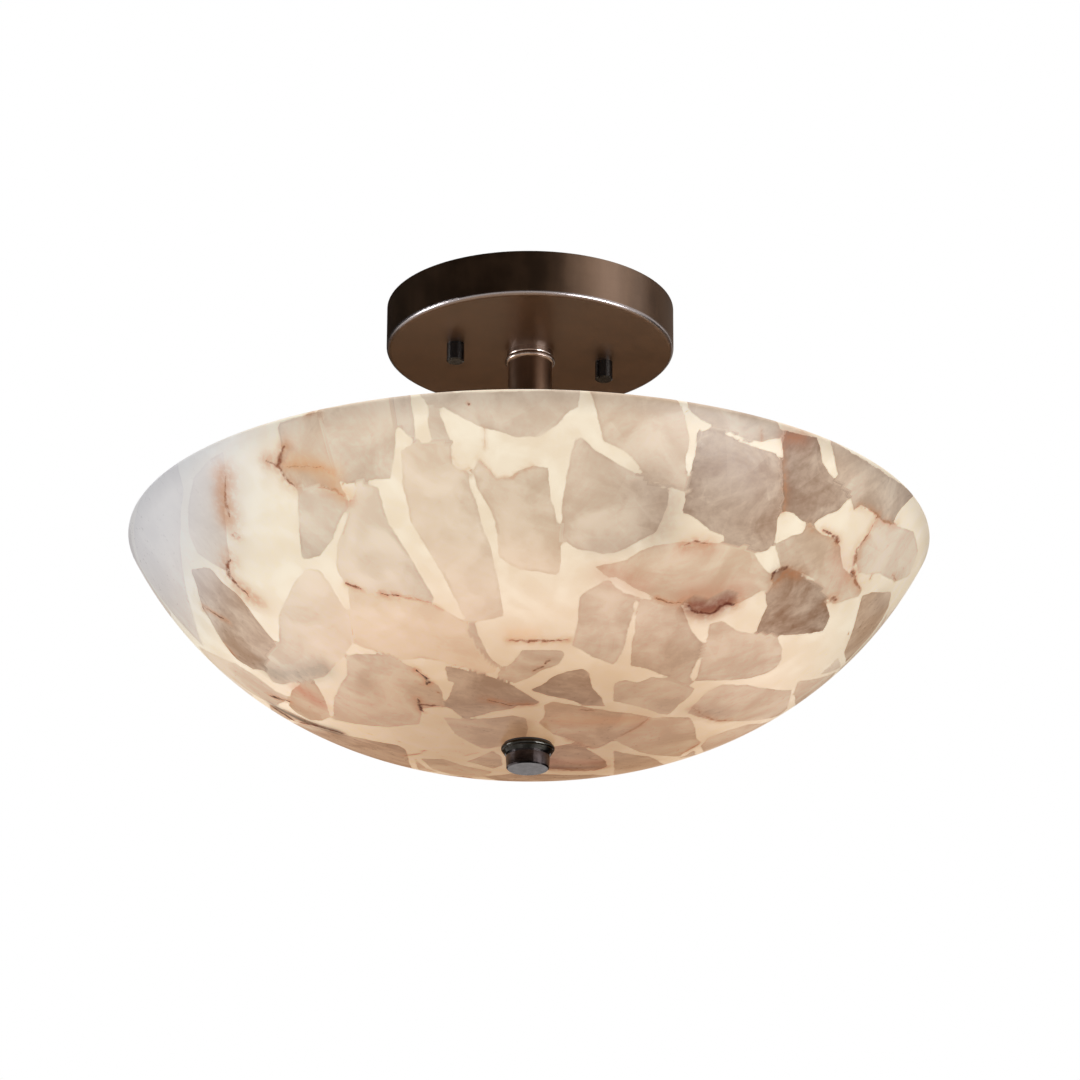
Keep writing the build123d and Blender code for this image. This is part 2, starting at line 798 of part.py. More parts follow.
with BuildPart() as finial:
    with BuildSketch(Plane.XZ):
        with BuildLine():
            Polyline(
                (tapped_radius, finial_top_z),
                (finial_radius - 0.9, finial_top_z),
                (finial_radius - 0.9, finial_top_z - 0.5),
                (finial_radius, finial_top_z - 0.9),
                (finial_radius - 0.35, finial_bottom_z + 0.6),
                (finial_radius - 0.9, finial_bottom_z),
                (0, finial_bottom_z),
                (0, finial_top_z - finial_bore_depth),
                (tapped_radius, finial_top_z - finial_bore_depth),
                close=True,
            )
        make_face()
    revolve(axis=Axis.Z)
keep(finial.part, "finial_knob")

print(len(nodes), "nodes, overall height", round(-finial_bottom_z, 1), "mm")
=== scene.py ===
"""Looks of the semi flush ceiling light: finishes, the stone and resin bowl, fine metal detail.

Everything is in metres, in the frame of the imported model: the origin is on the ceiling on the
stem's axis, +Z points up and the two sockets lie along X.
"""

import json
import random
from math import acos, atan2, cos, hypot, pi, radians, sin, sqrt

import bmesh
import bpy
import numpy as np
from mathutils import Matrix, Vector


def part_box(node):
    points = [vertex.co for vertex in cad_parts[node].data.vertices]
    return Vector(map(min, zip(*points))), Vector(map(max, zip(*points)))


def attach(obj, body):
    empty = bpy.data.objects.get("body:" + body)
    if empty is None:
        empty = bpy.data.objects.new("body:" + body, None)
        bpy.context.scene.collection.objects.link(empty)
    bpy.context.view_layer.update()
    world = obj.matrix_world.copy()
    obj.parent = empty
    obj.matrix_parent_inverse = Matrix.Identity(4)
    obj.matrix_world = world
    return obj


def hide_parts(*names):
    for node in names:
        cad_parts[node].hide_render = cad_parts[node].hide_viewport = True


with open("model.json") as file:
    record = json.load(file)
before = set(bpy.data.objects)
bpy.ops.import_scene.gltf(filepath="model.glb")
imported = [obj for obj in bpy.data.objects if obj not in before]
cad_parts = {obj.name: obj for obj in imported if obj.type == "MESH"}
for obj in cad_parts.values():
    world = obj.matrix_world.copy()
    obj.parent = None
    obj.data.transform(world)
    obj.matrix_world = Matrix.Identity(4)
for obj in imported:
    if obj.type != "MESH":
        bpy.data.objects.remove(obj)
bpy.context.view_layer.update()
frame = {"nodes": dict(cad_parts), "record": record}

mm = 0.001


def put(name, data):
    """A new object of the scene."""
    made = bpy.data.objects.new(name, data)
    bpy.context.scene.collection.objects.link(made)
    return made


# ---------------------------------------------------------------- camera

picture_side = 1080.0  # pixels along a side of the photograph
sensor_width = 36.0  # this and the lens in mm, as cameras give them
lens = 145.0
camera_azimuth = radians(-16.4)
camera_elevation = radians(-21.06)
camera_distance = 1.937
camera_roll = radians(0.26)
aim_right = 4.9 * mm  # the picture's middle, from the middle of the bowl's rim
aim_up = 2.3 * mm

bowl_low, bowl_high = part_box("bowl")
rim_z = bowl_high.z
foot_z = bowl_low.z
rim_centre = Vector((0, 0, rim_z))


def camera_axes():
    """The camera's place and its right, up and forward directions."""
    level = cos(camera_elevation)
    back = Vector((sin(camera_azimuth) * level, -cos(camera_azimuth) * level, sin(camera_elevation)))
    place = rim_centre + back * camera_distance
    side = (-back).cross(Vector((0, 0, 1))).normalized()
    above = side.cross(-back)
    forward = (rim_centre + side * aim_right + above * aim_up - place).normalized()
    side = forward.cross(Vector((0, 0, 1))).normalized()
    above = side.cross(forward)
    right = side * cos(camera_roll) + above * sin(camera_roll)
    return place, right, right.cross(forward), forward


camera_place, camera_right, camera_up, camera_forward = camera_axes()


def make_camera():
    """The camera, at the photograph's viewing angle."""
    data = bpy.data.cameras.new("camera")
    data.lens = lens
    data.sensor_width = sensor_width
    camera = put("camera", data)
    turn = Matrix((camera_right, camera_up, -camera_forward)).transposed()
    camera.matrix_world = Matrix.Translation(camera_place) @ turn.to_4x4()
    bpy.context.scene.camera = camera


make_camera()
bpy.context.scene.view_settings.view_transform = "Standard"

# ---------------------------------------------------------------- node helpers


def linear(red, green, blue):
    """A colour given in the 0 to 255 values of a screen, as linear light."""
    shares = [value / 255 for value in (red, green, blue)]
    return tuple(((s + 0.055) / 1.055) ** 2.4 if s > 0.04 else s / 12.92 for s in shares)


class Nodes:
    """A node tree, with short ways to add nodes to it. Colours are given without alpha."""

    def __init__(self, tree):
        self.tree = tree

    def plug(self, socket, value):
        """Links an output to a socket, or sets the socket's own value."""
        if isinstance(value, bpy.types.NodeSocket):
            self.tree.links.new(value, socket)
        elif socket.type == "RGBA":
            socket.default_value = (*value, 1)
        else:
            socket.default_value = value

    def add(self, kind, options=None, **inputs):
        """A new node with its options and its sockets, which are named with underscores."""
        made = self.tree.nodes.new(kind)
        for key, value in (options or {}).items():
            setattr(made, key, value)
        for key, value in inputs.items():
            self.plug(made.inputs[key.replace("_", " ")], value)
        return made

    def join(self, made, *values):
        """Fills a node's sockets in their order, and gives its result."""
        for socket, value in zip(made.inputs, values):
            self.plug(socket, value)
        return made.outputs[0]

    def calc(self, operation, *values):
        """The result of a math node."""
        return self.join(self.add("ShaderNodeMath", {"operation": operation}), *values)

    def plus(self, first, second):
        """The sum of two values."""
        return self.calc("ADD", first, second)

    def minus(self, first, second):
        """The first value less the second."""
        return self.calc("SUBTRACT", first, second)

    def times(self, first, second):
        """The product of two values."""
        return self.calc("MULTIPLY", first, second)

    def total(self, *terms):
        """The sum of values, each given after its share."""
        parts = [self.times(value, share) for share, value in terms]
        result = parts[0]
        for part in parts[1:]:
            result = self.plus(result, part)
        return result

    def choose(self, amount, first, second):
        """A mix of two shaders."""
        return self.join(self.add("ShaderNodeMixShader"), amount, first, second)


class Finish(Nodes):
    """One material's nodes, with its shader and its textures."""

    def __init__(self, name, **sockets):
        self.name = name
        self.material = bpy.data.materials.new(name)
        self.material.use_nodes = True
        super().__init__(self.material.node_tree)
        self.shader = self.tree.nodes["Principled BSDF"]
        self.set(**sockets)
        self.place = self.add("ShaderNodeTexCoord").outputs["Object"]

    def set(self, **sockets):
        """Sets or links the shader's sockets, named with underscores."""
        for key, value in sockets.items():
            self.plug(self.shader.inputs[key.replace("_", " ")], value)

    def surface(self, shader):
        """Shows another shader in place of the material's first one."""
        self.plug(self.tree.nodes["Material Output"].inputs["Surface"], shader)

    def step(self, value, low, high, bottom=0.0, top=1.0):
        """A smooth step from bottom to top as value goes from low to high."""
        made = self.add(
            "ShaderNodeMapRange",
            {"interpolation_type": "SMOOTHSTEP"},
            Value=value,
            From_Min=low,
            From_Max=high,
            To_Min=bottom,
            To_Max=top,
        )
        return made.outputs["Result"]

    def mix(self, amount, first, second, blend="MIX"):
        """A mix of two colours."""
        made = self.add("ShaderNodeMix", {"data_type": "RGBA", "blend_type": blend})
        self.plug(made.inputs[0], amount)
        self.plug(made.inputs[6], first)
        self.plug(made.inputs[7], second)
        return made.outputs[2]

    def ramp(self, value, *stops):
        """Colours at places from 0 to 1, mixed in between."""
        made = self.add("ShaderNodeValToRGB", Fac=value)
        points = made.color_ramp.elements
        while len(points) < len(stops):
            points.new(0.5)
        for point, (place, color) in zip(points, stops):
            point.position = place
            point.color = (*color, 1)
        return made.outputs[0]

    def stretch(self, scale, place=None, turn=(0, 0, 0)):
        """Texture coordinates scaled and turned."""
        place = place or self.place
        return self.add("ShaderNodeMapping", Vector=place, Scale=scale, Rotation=turn).outputs[0]

    def noise(self, size, detail=3.0, roughness=0.55, distortion=0.0, place=None):
        """Soft noise about 0.5, with patches of about the given size in metres."""
        made = self.add(
            "ShaderNodeTexNoise",
            Vector=place or self.place,
            Scale=1 / size,
            Detail=detail,
            Roughness=roughness,
            Distortion=distortion,
        )
        return made.outputs[0]

    def ragged(self, size, amount, *noise):
        """Soft noise about 0, by up to about half the given amount each way."""
        return self.times(self.minus(self.noise(size, *noise), 0.5), amount)

    def cells(self, size, feature="F1", place=None):
        """A cell pattern's node, with cells of about the given size in metres."""
        return self.add(
            "ShaderNodeTexVoronoi",
            {"feature": feature},
            Vector=place or self.place,
            Scale=1 / size,
        )

    def channel(self, color):
        """The red of a colour, as a number."""
        return self.add("ShaderNodeSeparateColor", Color=color).outputs[0]

    def attribute(self, name):
        """The node that reads values kept on a mesh's points."""
        return self.add("ShaderNodeAttribute", {"attribute_name": name})

    def bump(self, height, depth, strength=1.0, under=None):
        """A bump of the given depth in metres, over an earlier bump."""
        made = self.add("ShaderNodeBump", Height=height, Distance=depth, Strength=strength)
        if under is not None:
            self.plug(made.inputs["Normal"], under)
        return made.outputs[0]


# ---------------------------------------------------------------- finishes


def mottled(name, dark, light, rough, size, depth, grain, **sockets):
    """A finish with cloudy colour, uneven gloss and a fine uneven surface.

    rough is the lowest and highest roughness, size the clouds' size, and depth and grain the
    bump's depth and size, in metres.
    """
    finish = Finish(name, **sockets)
    clouds = finish.noise(size, 4)
    fine = finish.noise(grain, 3, 0.6)
    finish.set(
        Base_Color=finish.mix(finish.step(clouds, 0.35, 0.65), dark, light),
        Roughness=finish.step(finish.total((0.6, clouds), (0.4, fine)), 0.35, 0.65, *rough),
        Normal=finish.bump(fine, depth),
    )
    return finish


def bronze():
    """Dark oiled bronze under thin lacquer: brushed on flat faces; the rounded edges are a little
    glossier and carry a pale painted highlight.
    """
    finish = Finish(
        "bronze_finish",
        Metallic=0.95,
        Coat_Weight=0.7,
        Coat_Roughness=0.3,
        Specular_Tint=(1, 0.9, 0.82),
    )
    clouds = finish.noise(14 * mm, 4, 0.6)
    streaks = finish.noise(1.0, 4, 0.6, place=finish.stretch((240, 240, 30)))
    grain = finish.noise(0.35 * mm, 2, 0.6)
    tone = finish.total((0.65, clouds), (0.35, streaks))
    normal = finish.add("ShaderNodeTexCoord").outputs["Normal"]
    upright = finish.add("ShaderNodeSeparateXYZ", Vector=normal).outputs[2]
    upright = finish.calc("ABSOLUTE", upright)
    # on the rounded edges, where the normal is partly upright, a pale highlight is painted into the
    # colour, and the roughness is a little lower
    edge_gloss_and_painted_highlight = finish.times(finish.step(upright, 0.05, 0.25), finish.step(upright, 0.75, 0.97, 1.0, 0.0))
    rough = finish.step(tone, 0.36, 0.64, 0.33, 0.4)
    rough = finish.plus(rough, finish.step(upright, 0.9, 0.99, 0.0, 0.14))
    brown = finish.mix(finish.step(tone, 0.36, 0.64), (0.112, 0.056, 0.026), (0.142, 0.074, 0.037))
    finish.set(
        Base_Color=finish.mix(finish.times(edge_gloss_and_painted_highlight, 0.7), brown, (0.36, 0.32, 0.32)),
        Roughness=finish.minus(rough, finish.times(edge_gloss_and_painted_highlight, 0.1)),
        Normal=finish.bump(grain, 0.008 * mm, 0.4),
    )
    return finish


def black_gloss():
    """Glossy black plating with fine scratches along the turning lines."""
    finish = Finish("black_knob", Coat_Weight=0.25, Coat_Roughness=0.08, Specular_IOR_Level=0.35)
    clouds = finish.noise(2 * mm, 3)
    lines = finish.noise(1.0, 3, 0.6, place=finish.stretch((300, 300, 2400)))
    finish.set(
        Base_Color=finish.mix(clouds, (0.002, 0.002, 0.003), (0.006, 0.006, 0.007)),
        Roughness=finish.step(lines, 0.3, 0.7, 0.13, 0.22),
        Normal=finish.bump(lines, 0.003 * mm, 0.25),
    )
    return finish


def gunmetal(name, dark, light):
    """Polished plating over turned metal, with fine turning marks."""
    finish = Finish(name, Metallic=1.0)
    clouds = finish.noise(3 * mm, 3)
    lines = finish.noise(1.0, 4, 0.65, place=finish.stretch((200, 200, 2600)))
    finish.set(
        Base_Color=finish.mix(finish.step(clouds, 0.35, 0.65), dark, light),
        Roughness=finish.step(lines, 0.3, 0.7, 0.15, 0.23),
        Normal=finish.bump(lines, 0.003 * mm, 0.2),
    )
    return finish


def zinc():
    """Bright zinc plating with faint crystal flakes and handling marks."""
    finish = Finish("zinc_steel", Metallic=1.0)
    flakes = finish.channel(finish.cells(2.2 * mm).outputs["Color"])
    clouds = finish.noise(5 * mm, 4)
    scratches = finish.noise(1.0, 3, 0.6, place=finish.stretch((2600, 240, 240), turn=(0, 0, 0.6)))
    tone = finish.total((0.3, flakes), (0.7, clouds))
    rough = finish.plus(tone, finish.times(scratches, 0.5))
    finish.set(
        Base_Color=finish.mix(finish.step(tone, 0.25, 0.75), (0.46, 0.47, 0.49), (0.68, 0.68, 0.66)),
        Roughness=finish.step(rough, 0.5, 1.0, 0.24, 0.42),
        Normal=finish.bump(scratches, 0.006 * mm, 0.5),
    )
    return finish


def porcelain():
    """White glazed porcelain with a few specks and a soft ripple in the glaze."""
    finish = Finish("porcelain", Coat_Weight=0.8, Coat_Roughness=0.06)
    clouds = finish.noise(9 * mm, 3)
    specks = finish.noise(0.5 * mm, 1)
    base = finish.mix(clouds, (0.8, 0.78, 0.73), (0.88, 0.87, 0.83))
    finish.set(
        Base_Color=finish.mix(finish.step(specks, 0.74, 0.78), base, (0.32, 0.27, 0.2)),
        Roughness=finish.step(clouds, 0.3, 0.7, 0.22, 0.34),
        Normal=finish.bump(finish.noise(4 * mm, 2), 0.05 * mm, 0.5),
    )
    return finish


def brass(name, pale, deep, tarnish):
    """Bare sheet brass or copper with tarnish gathering in patches."""
    finish = Finish(name, Metallic=1.0)
    clouds = finish.noise(4 * mm, 5, 0.65, 0.4)
    lines = finish.noise(1.0, 3, 0.6, place=finish.stretch((5200, 300, 300)))
    bare = finish.mix(finish.step(clouds, 0.3, 0.55), deep, pale)
    finish.set(
        Base_Color=finish.mix(finish.step(clouds, 0.55, 0.72), bare, tarnish),
        Roughness=finish.step(clouds, 0.35, 0.7, 0.2, 0.44),
        Normal=finish.bump(lines, 0.006 * mm, 0.5),
    )
    return finish


def frosted_glass():
    """White frosted lamp glass, lit from within, a little unevenly."""
    finish = Finish("lamp_glass", Emission_Strength=0.42, Specular_IOR_Level=0.5)
    clouds = finish.noise(16 * mm, 3)
    grain = finish.noise(0.3 * mm, 2)
    finish.set(
        Base_Color=finish.mix(clouds, (0.5, 0.47, 0.42), (0.58, 0.56, 0.52)),
        Emission_Color=finish.mix(clouds, (1.0, 0.66, 0.36), (1.0, 0.74, 0.46)),
        Roughness=finish.step(grain, 0.35, 0.65, 0.42, 0.56),
        Normal=finish.bump(grain, 0.01 * mm, 0.6),
    )
    return finish


def make_finishes():
    """A finish for each slot of the record, but for the bowl's, which has its own."""
    gloss = {"Coat_Weight": 0.3, "Coat_Roughness": 0.15}
    return [
        bronze(),
        black_gloss(),
        gunmetal("dark_nickel", (0.07, 0.056, 0.055), (0.105, 0.086, 0.084)),
        zinc(),
        porcelain(),
        frosted_glass(),
        mottled(
            "cluster_paint", (0.062, 0.038, 0.026), (0.098, 0.062, 0.044), (0.36, 0.5),
            12 * mm, 0.02 * mm, 0.5 * mm, Metallic=0.7,
        ),
        mottled(
            "green_steel", (0.016, 0.15, 0.05), (0.035, 0.25, 0.08), (0.25, 0.4),
            2 * mm, 0.02 * mm, 0.4 * mm, Metallic=0.5, **gloss,
        ),
        brass("bare_copper", (0.74, 0.37, 0.21), (0.55, 0.24, 0.12), (0.3, 0.13, 0.07)),
        brass("tinned_brass", (0.74, 0.71, 0.62), (0.58, 0.55, 0.46), (0.4, 0.36, 0.27)),
        brass("socket_brass", (0.78, 0.57, 0.26), (0.62, 0.42, 0.16), (0.36, 0.22, 0.08)),
        mottled(
            "lamp_base", (0.6, 0.59, 0.56), (0.78, 0.77, 0.75), (0.2, 0.34),
            3 * mm, 0.012 * mm, 0.4 * mm, Metallic=1.0,
        ),
        mottled(
            "lamp_insulator", (0.012, 0.012, 0.02), (0.03, 0.03, 0.045), (0.12, 0.25),
            2 * mm, 0.02 * mm, 0.8 * mm, **gloss,
        ),
        mottled(
            "lamp_tip", (0.45, 0.42, 0.37), (0.68, 0.65, 0.6), (0.3, 0.5),
            1.2 * mm, 0.05 * mm, 0.9 * mm, Metallic=1.0,
        ),
        mottled(
            "gasket_rubber", (0.018, 0.018, 0.018), (0.042, 0.041, 0.04), (0.6, 0.82),
            3 * mm, 0.03 * mm, 0.35 * mm,
        ),
        mottled(
            "black_insulation", (0.012, 0.012, 0.012), (0.03, 0.03, 0.03), (0.38, 0.55),
            4 * mm, 0.02 * mm, 0.5 * mm,
        ),
        mottled(
            "white_insulation", (0.72, 0.71, 0.67), (0.86, 0.85, 0.82), (0.38, 0.55),
            4 * mm, 0.02 * mm, 0.5 * mm,
        ),
        mottled(
            "connector_plastic", (0.62, 0.24, 0.03), (0.82, 0.36, 0.06), (0.3, 0.45),
            6 * mm, 0.02 * mm, 0.4 * mm,
        ),
    ]


def dress(node, finish):
    """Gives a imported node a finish."""
    data = frame["nodes"][node].data
    data.materials.clear()
    data.materials.append(finish.material)


def dress_nodes():
    """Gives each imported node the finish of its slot, and two turned pieces a glossier one."""
    finishes = {finish.name: finish for finish in make_finishes()}
    for part in frame["record"]["subparts"]:
        if part["material_slot"] in finishes:
            dress(part["node"], finishes[part["material_slot"]])
    dress("stem_collar", gunmetal("rubbed_bronze", (0.3, 0.225, 0.19), (0.42, 0.33, 0.28)))
    dress("finial_flange", gunmetal("black_nickel", (0.03, 0.027, 0.022), (0.05, 0.045, 0.04)))


# ---------------------------------------------------------------- the bowl's surface

foot_radius = 25.4 * mm
bowl_rim_corner = 178.5 * mm
bowl_wall = 6.0 * mm
bowl_rim_round = 1.2 * mm
bowl_hole_radius = 5.6 * mm
arc_radius = ((bowl_rim_corner - foot_radius) ** 2 + (rim_z - foot_z) ** 2) / (2 * (rim_z - foot_z))
arc_z = foot_z + arc_radius  # height of the arc's centre, which lies foot_radius out from the axis
round_z = rim_z - bowl_rim_round


def rounding(distance):
    """How far from the arc's middle line a rim rounding's centre lies, and its angle."""
    out = sqrt(distance**2 - (arc_z - round_z) ** 2)
    return foot_radius + out, atan2(out, arc_z - round_z)


outer_round_x, outer_end = rounding(arc_radius - bowl_rim_round)
inner_round_x, inner_end = rounding(arc_radius - bowl_wall + bowl_rim_round)


def arc_run(radius, start, end, count):
    """Points (x, z) on an arc about the bowl's arc centre, between two angles from straight down."""
    angles = np.linspace(start, end, count)
    return [(foot_radius + radius * sin(a), arc_z - radius * cos(a)) for a in angles]


def round_run(x, start, end, count):
    """Points on a rim rounding, between two angles from straight down."""
    angles = np.linspace(start, end, count)
    return [(x + bowl_rim_round * sin(a), round_z - bowl_rim_round * cos(a)) for a in angles]


# the bowl mesh's rings of points: on the flat foot, the outer arc, each half of the rim's rounding,
# the inner arc and the flat seat inside
foot_rows = 6
outer_rows = 106
rim_rows = 6
inner_rows = 24
seat_rows = 5
columns = 540


def bowl_profile():
    """The bowl's section from its hole out, over the rim and back in to the hole."""
    outside = [(x, foot_z) for x in np.linspace(bowl_hole_radius, foot_radius, foot_rows + 1)[:-1]]
    outside += arc_run(arc_radius, 0, outer_end, outer_rows)
    outside += round_run(outer_round_x, outer_end, pi, rim_rows)[1:]
    inside = round_run(inner_round_x, pi, pi + inner_end, rim_rows)
    inside += arc_run(arc_radius - bowl_wall, inner_end, 0, inner_rows)[1:]
    seat_z = foot_z + bowl_wall
    inside += [(x, seat_z) for x in np.linspace(foot_radius, bowl_hole_radius, seat_rows)[1:]]
    return outside + inside


def skin_normal(points):
    """Outward normals of the outer skin at points near it."""
    out = np.hypot(points[:, 0], points[:, 1])
    angle = np.arctan2(np.maximum(out - foot_radius, 0), arc_z - points[:, 2])
    across = np.sin(angle) / np.maximum(out, 1e-9)
    return np.stack([points[:, 0] * across, points[:, 1] * across, -np.cos(angle)], 1)


def to_skin(points):
    """Points of the bowl's wall moved straight through it to its outer skin."""
    out = np.hypot(points[:, 0], points[:, 1])
    flat = out <= foot_radius
    angle = np.arctan2(np.maximum(out - foot_radius, 0), arc_z - points[:, 2])
    x = np.where(flat, out, foot_radius + arc_radius * np.sin(angle))
    z = np.where(flat, foot_z, arc_z - arc_radius * np.cos(angle))
    scale = x / np.maximum(out, 1e-9)
    return np.stack([points[:, 0] * scale, points[:, 1] * scale, z], 1)


# In the photograph the bowl hangs a little askew: its right side is lower, and it sits off to the
# right. The part hangs level, and its stones keep their places on the bowl.
hang_tilt = radians(1.4)
hang_shift = 3.0 * mm


def photographed_pose():
    """Where the bowl hangs in the photograph, measured from its level place."""
    level_forward = Vector((camera_forward.x, camera_forward.y, 0)).normalized()
    level_right = Vector((level_forward.y, -level_forward.x, 0))
    foot = Matrix.Translation((0, 0, foot_z))
    tilt = foot @ Matrix.Rotation(hang_tilt, 4, level_forward) @ foot.inverted()
    return Matrix.Translation(level_right * hang_shift) @ tilt


to_level = photographed_pose().inverted()
sight_steps = 60  # most steps along a line of sight to the skin
sight_gap = 0.01 * mm  # how near to the skin it has to come


def on_skin(pixel):
    """The point of the bowl's outer skin that shows at a pixel of the photograph."""
    focal = lens / sensor_width * picture_side
    across = (pixel[0] - picture_side / 2) / focal
    down = (pixel[1] - picture_side / 2) / focal
    along = (camera_forward + camera_right * across - camera_up * down).normalized()
    along = to_level.to_3x3() @ along
    start = to_level @ camera_place
    reach = camera_distance - 2 * bowl_rim_corner
    nearest, place = 1.0, None
    for _ in range(sight_steps):
        point = start + along * reach
        out = hypot(point.x, point.y)
        gap = hypot(max(out - foot_radius, 0), arc_z - point.z) - arc_radius
        if abs(gap) < nearest:
            nearest, place = abs(gap), point.copy()
        reach += max(gap, 2 * sight_gap)
        if gap < sight_gap or reach > camera_distance + 2 * bowl_rim_corner:
            break
    place.z = min(place.z, rim_z)
    return to_skin(np.array([place]))[0]


# ---------------------------------------------------------------- stones of the bowl

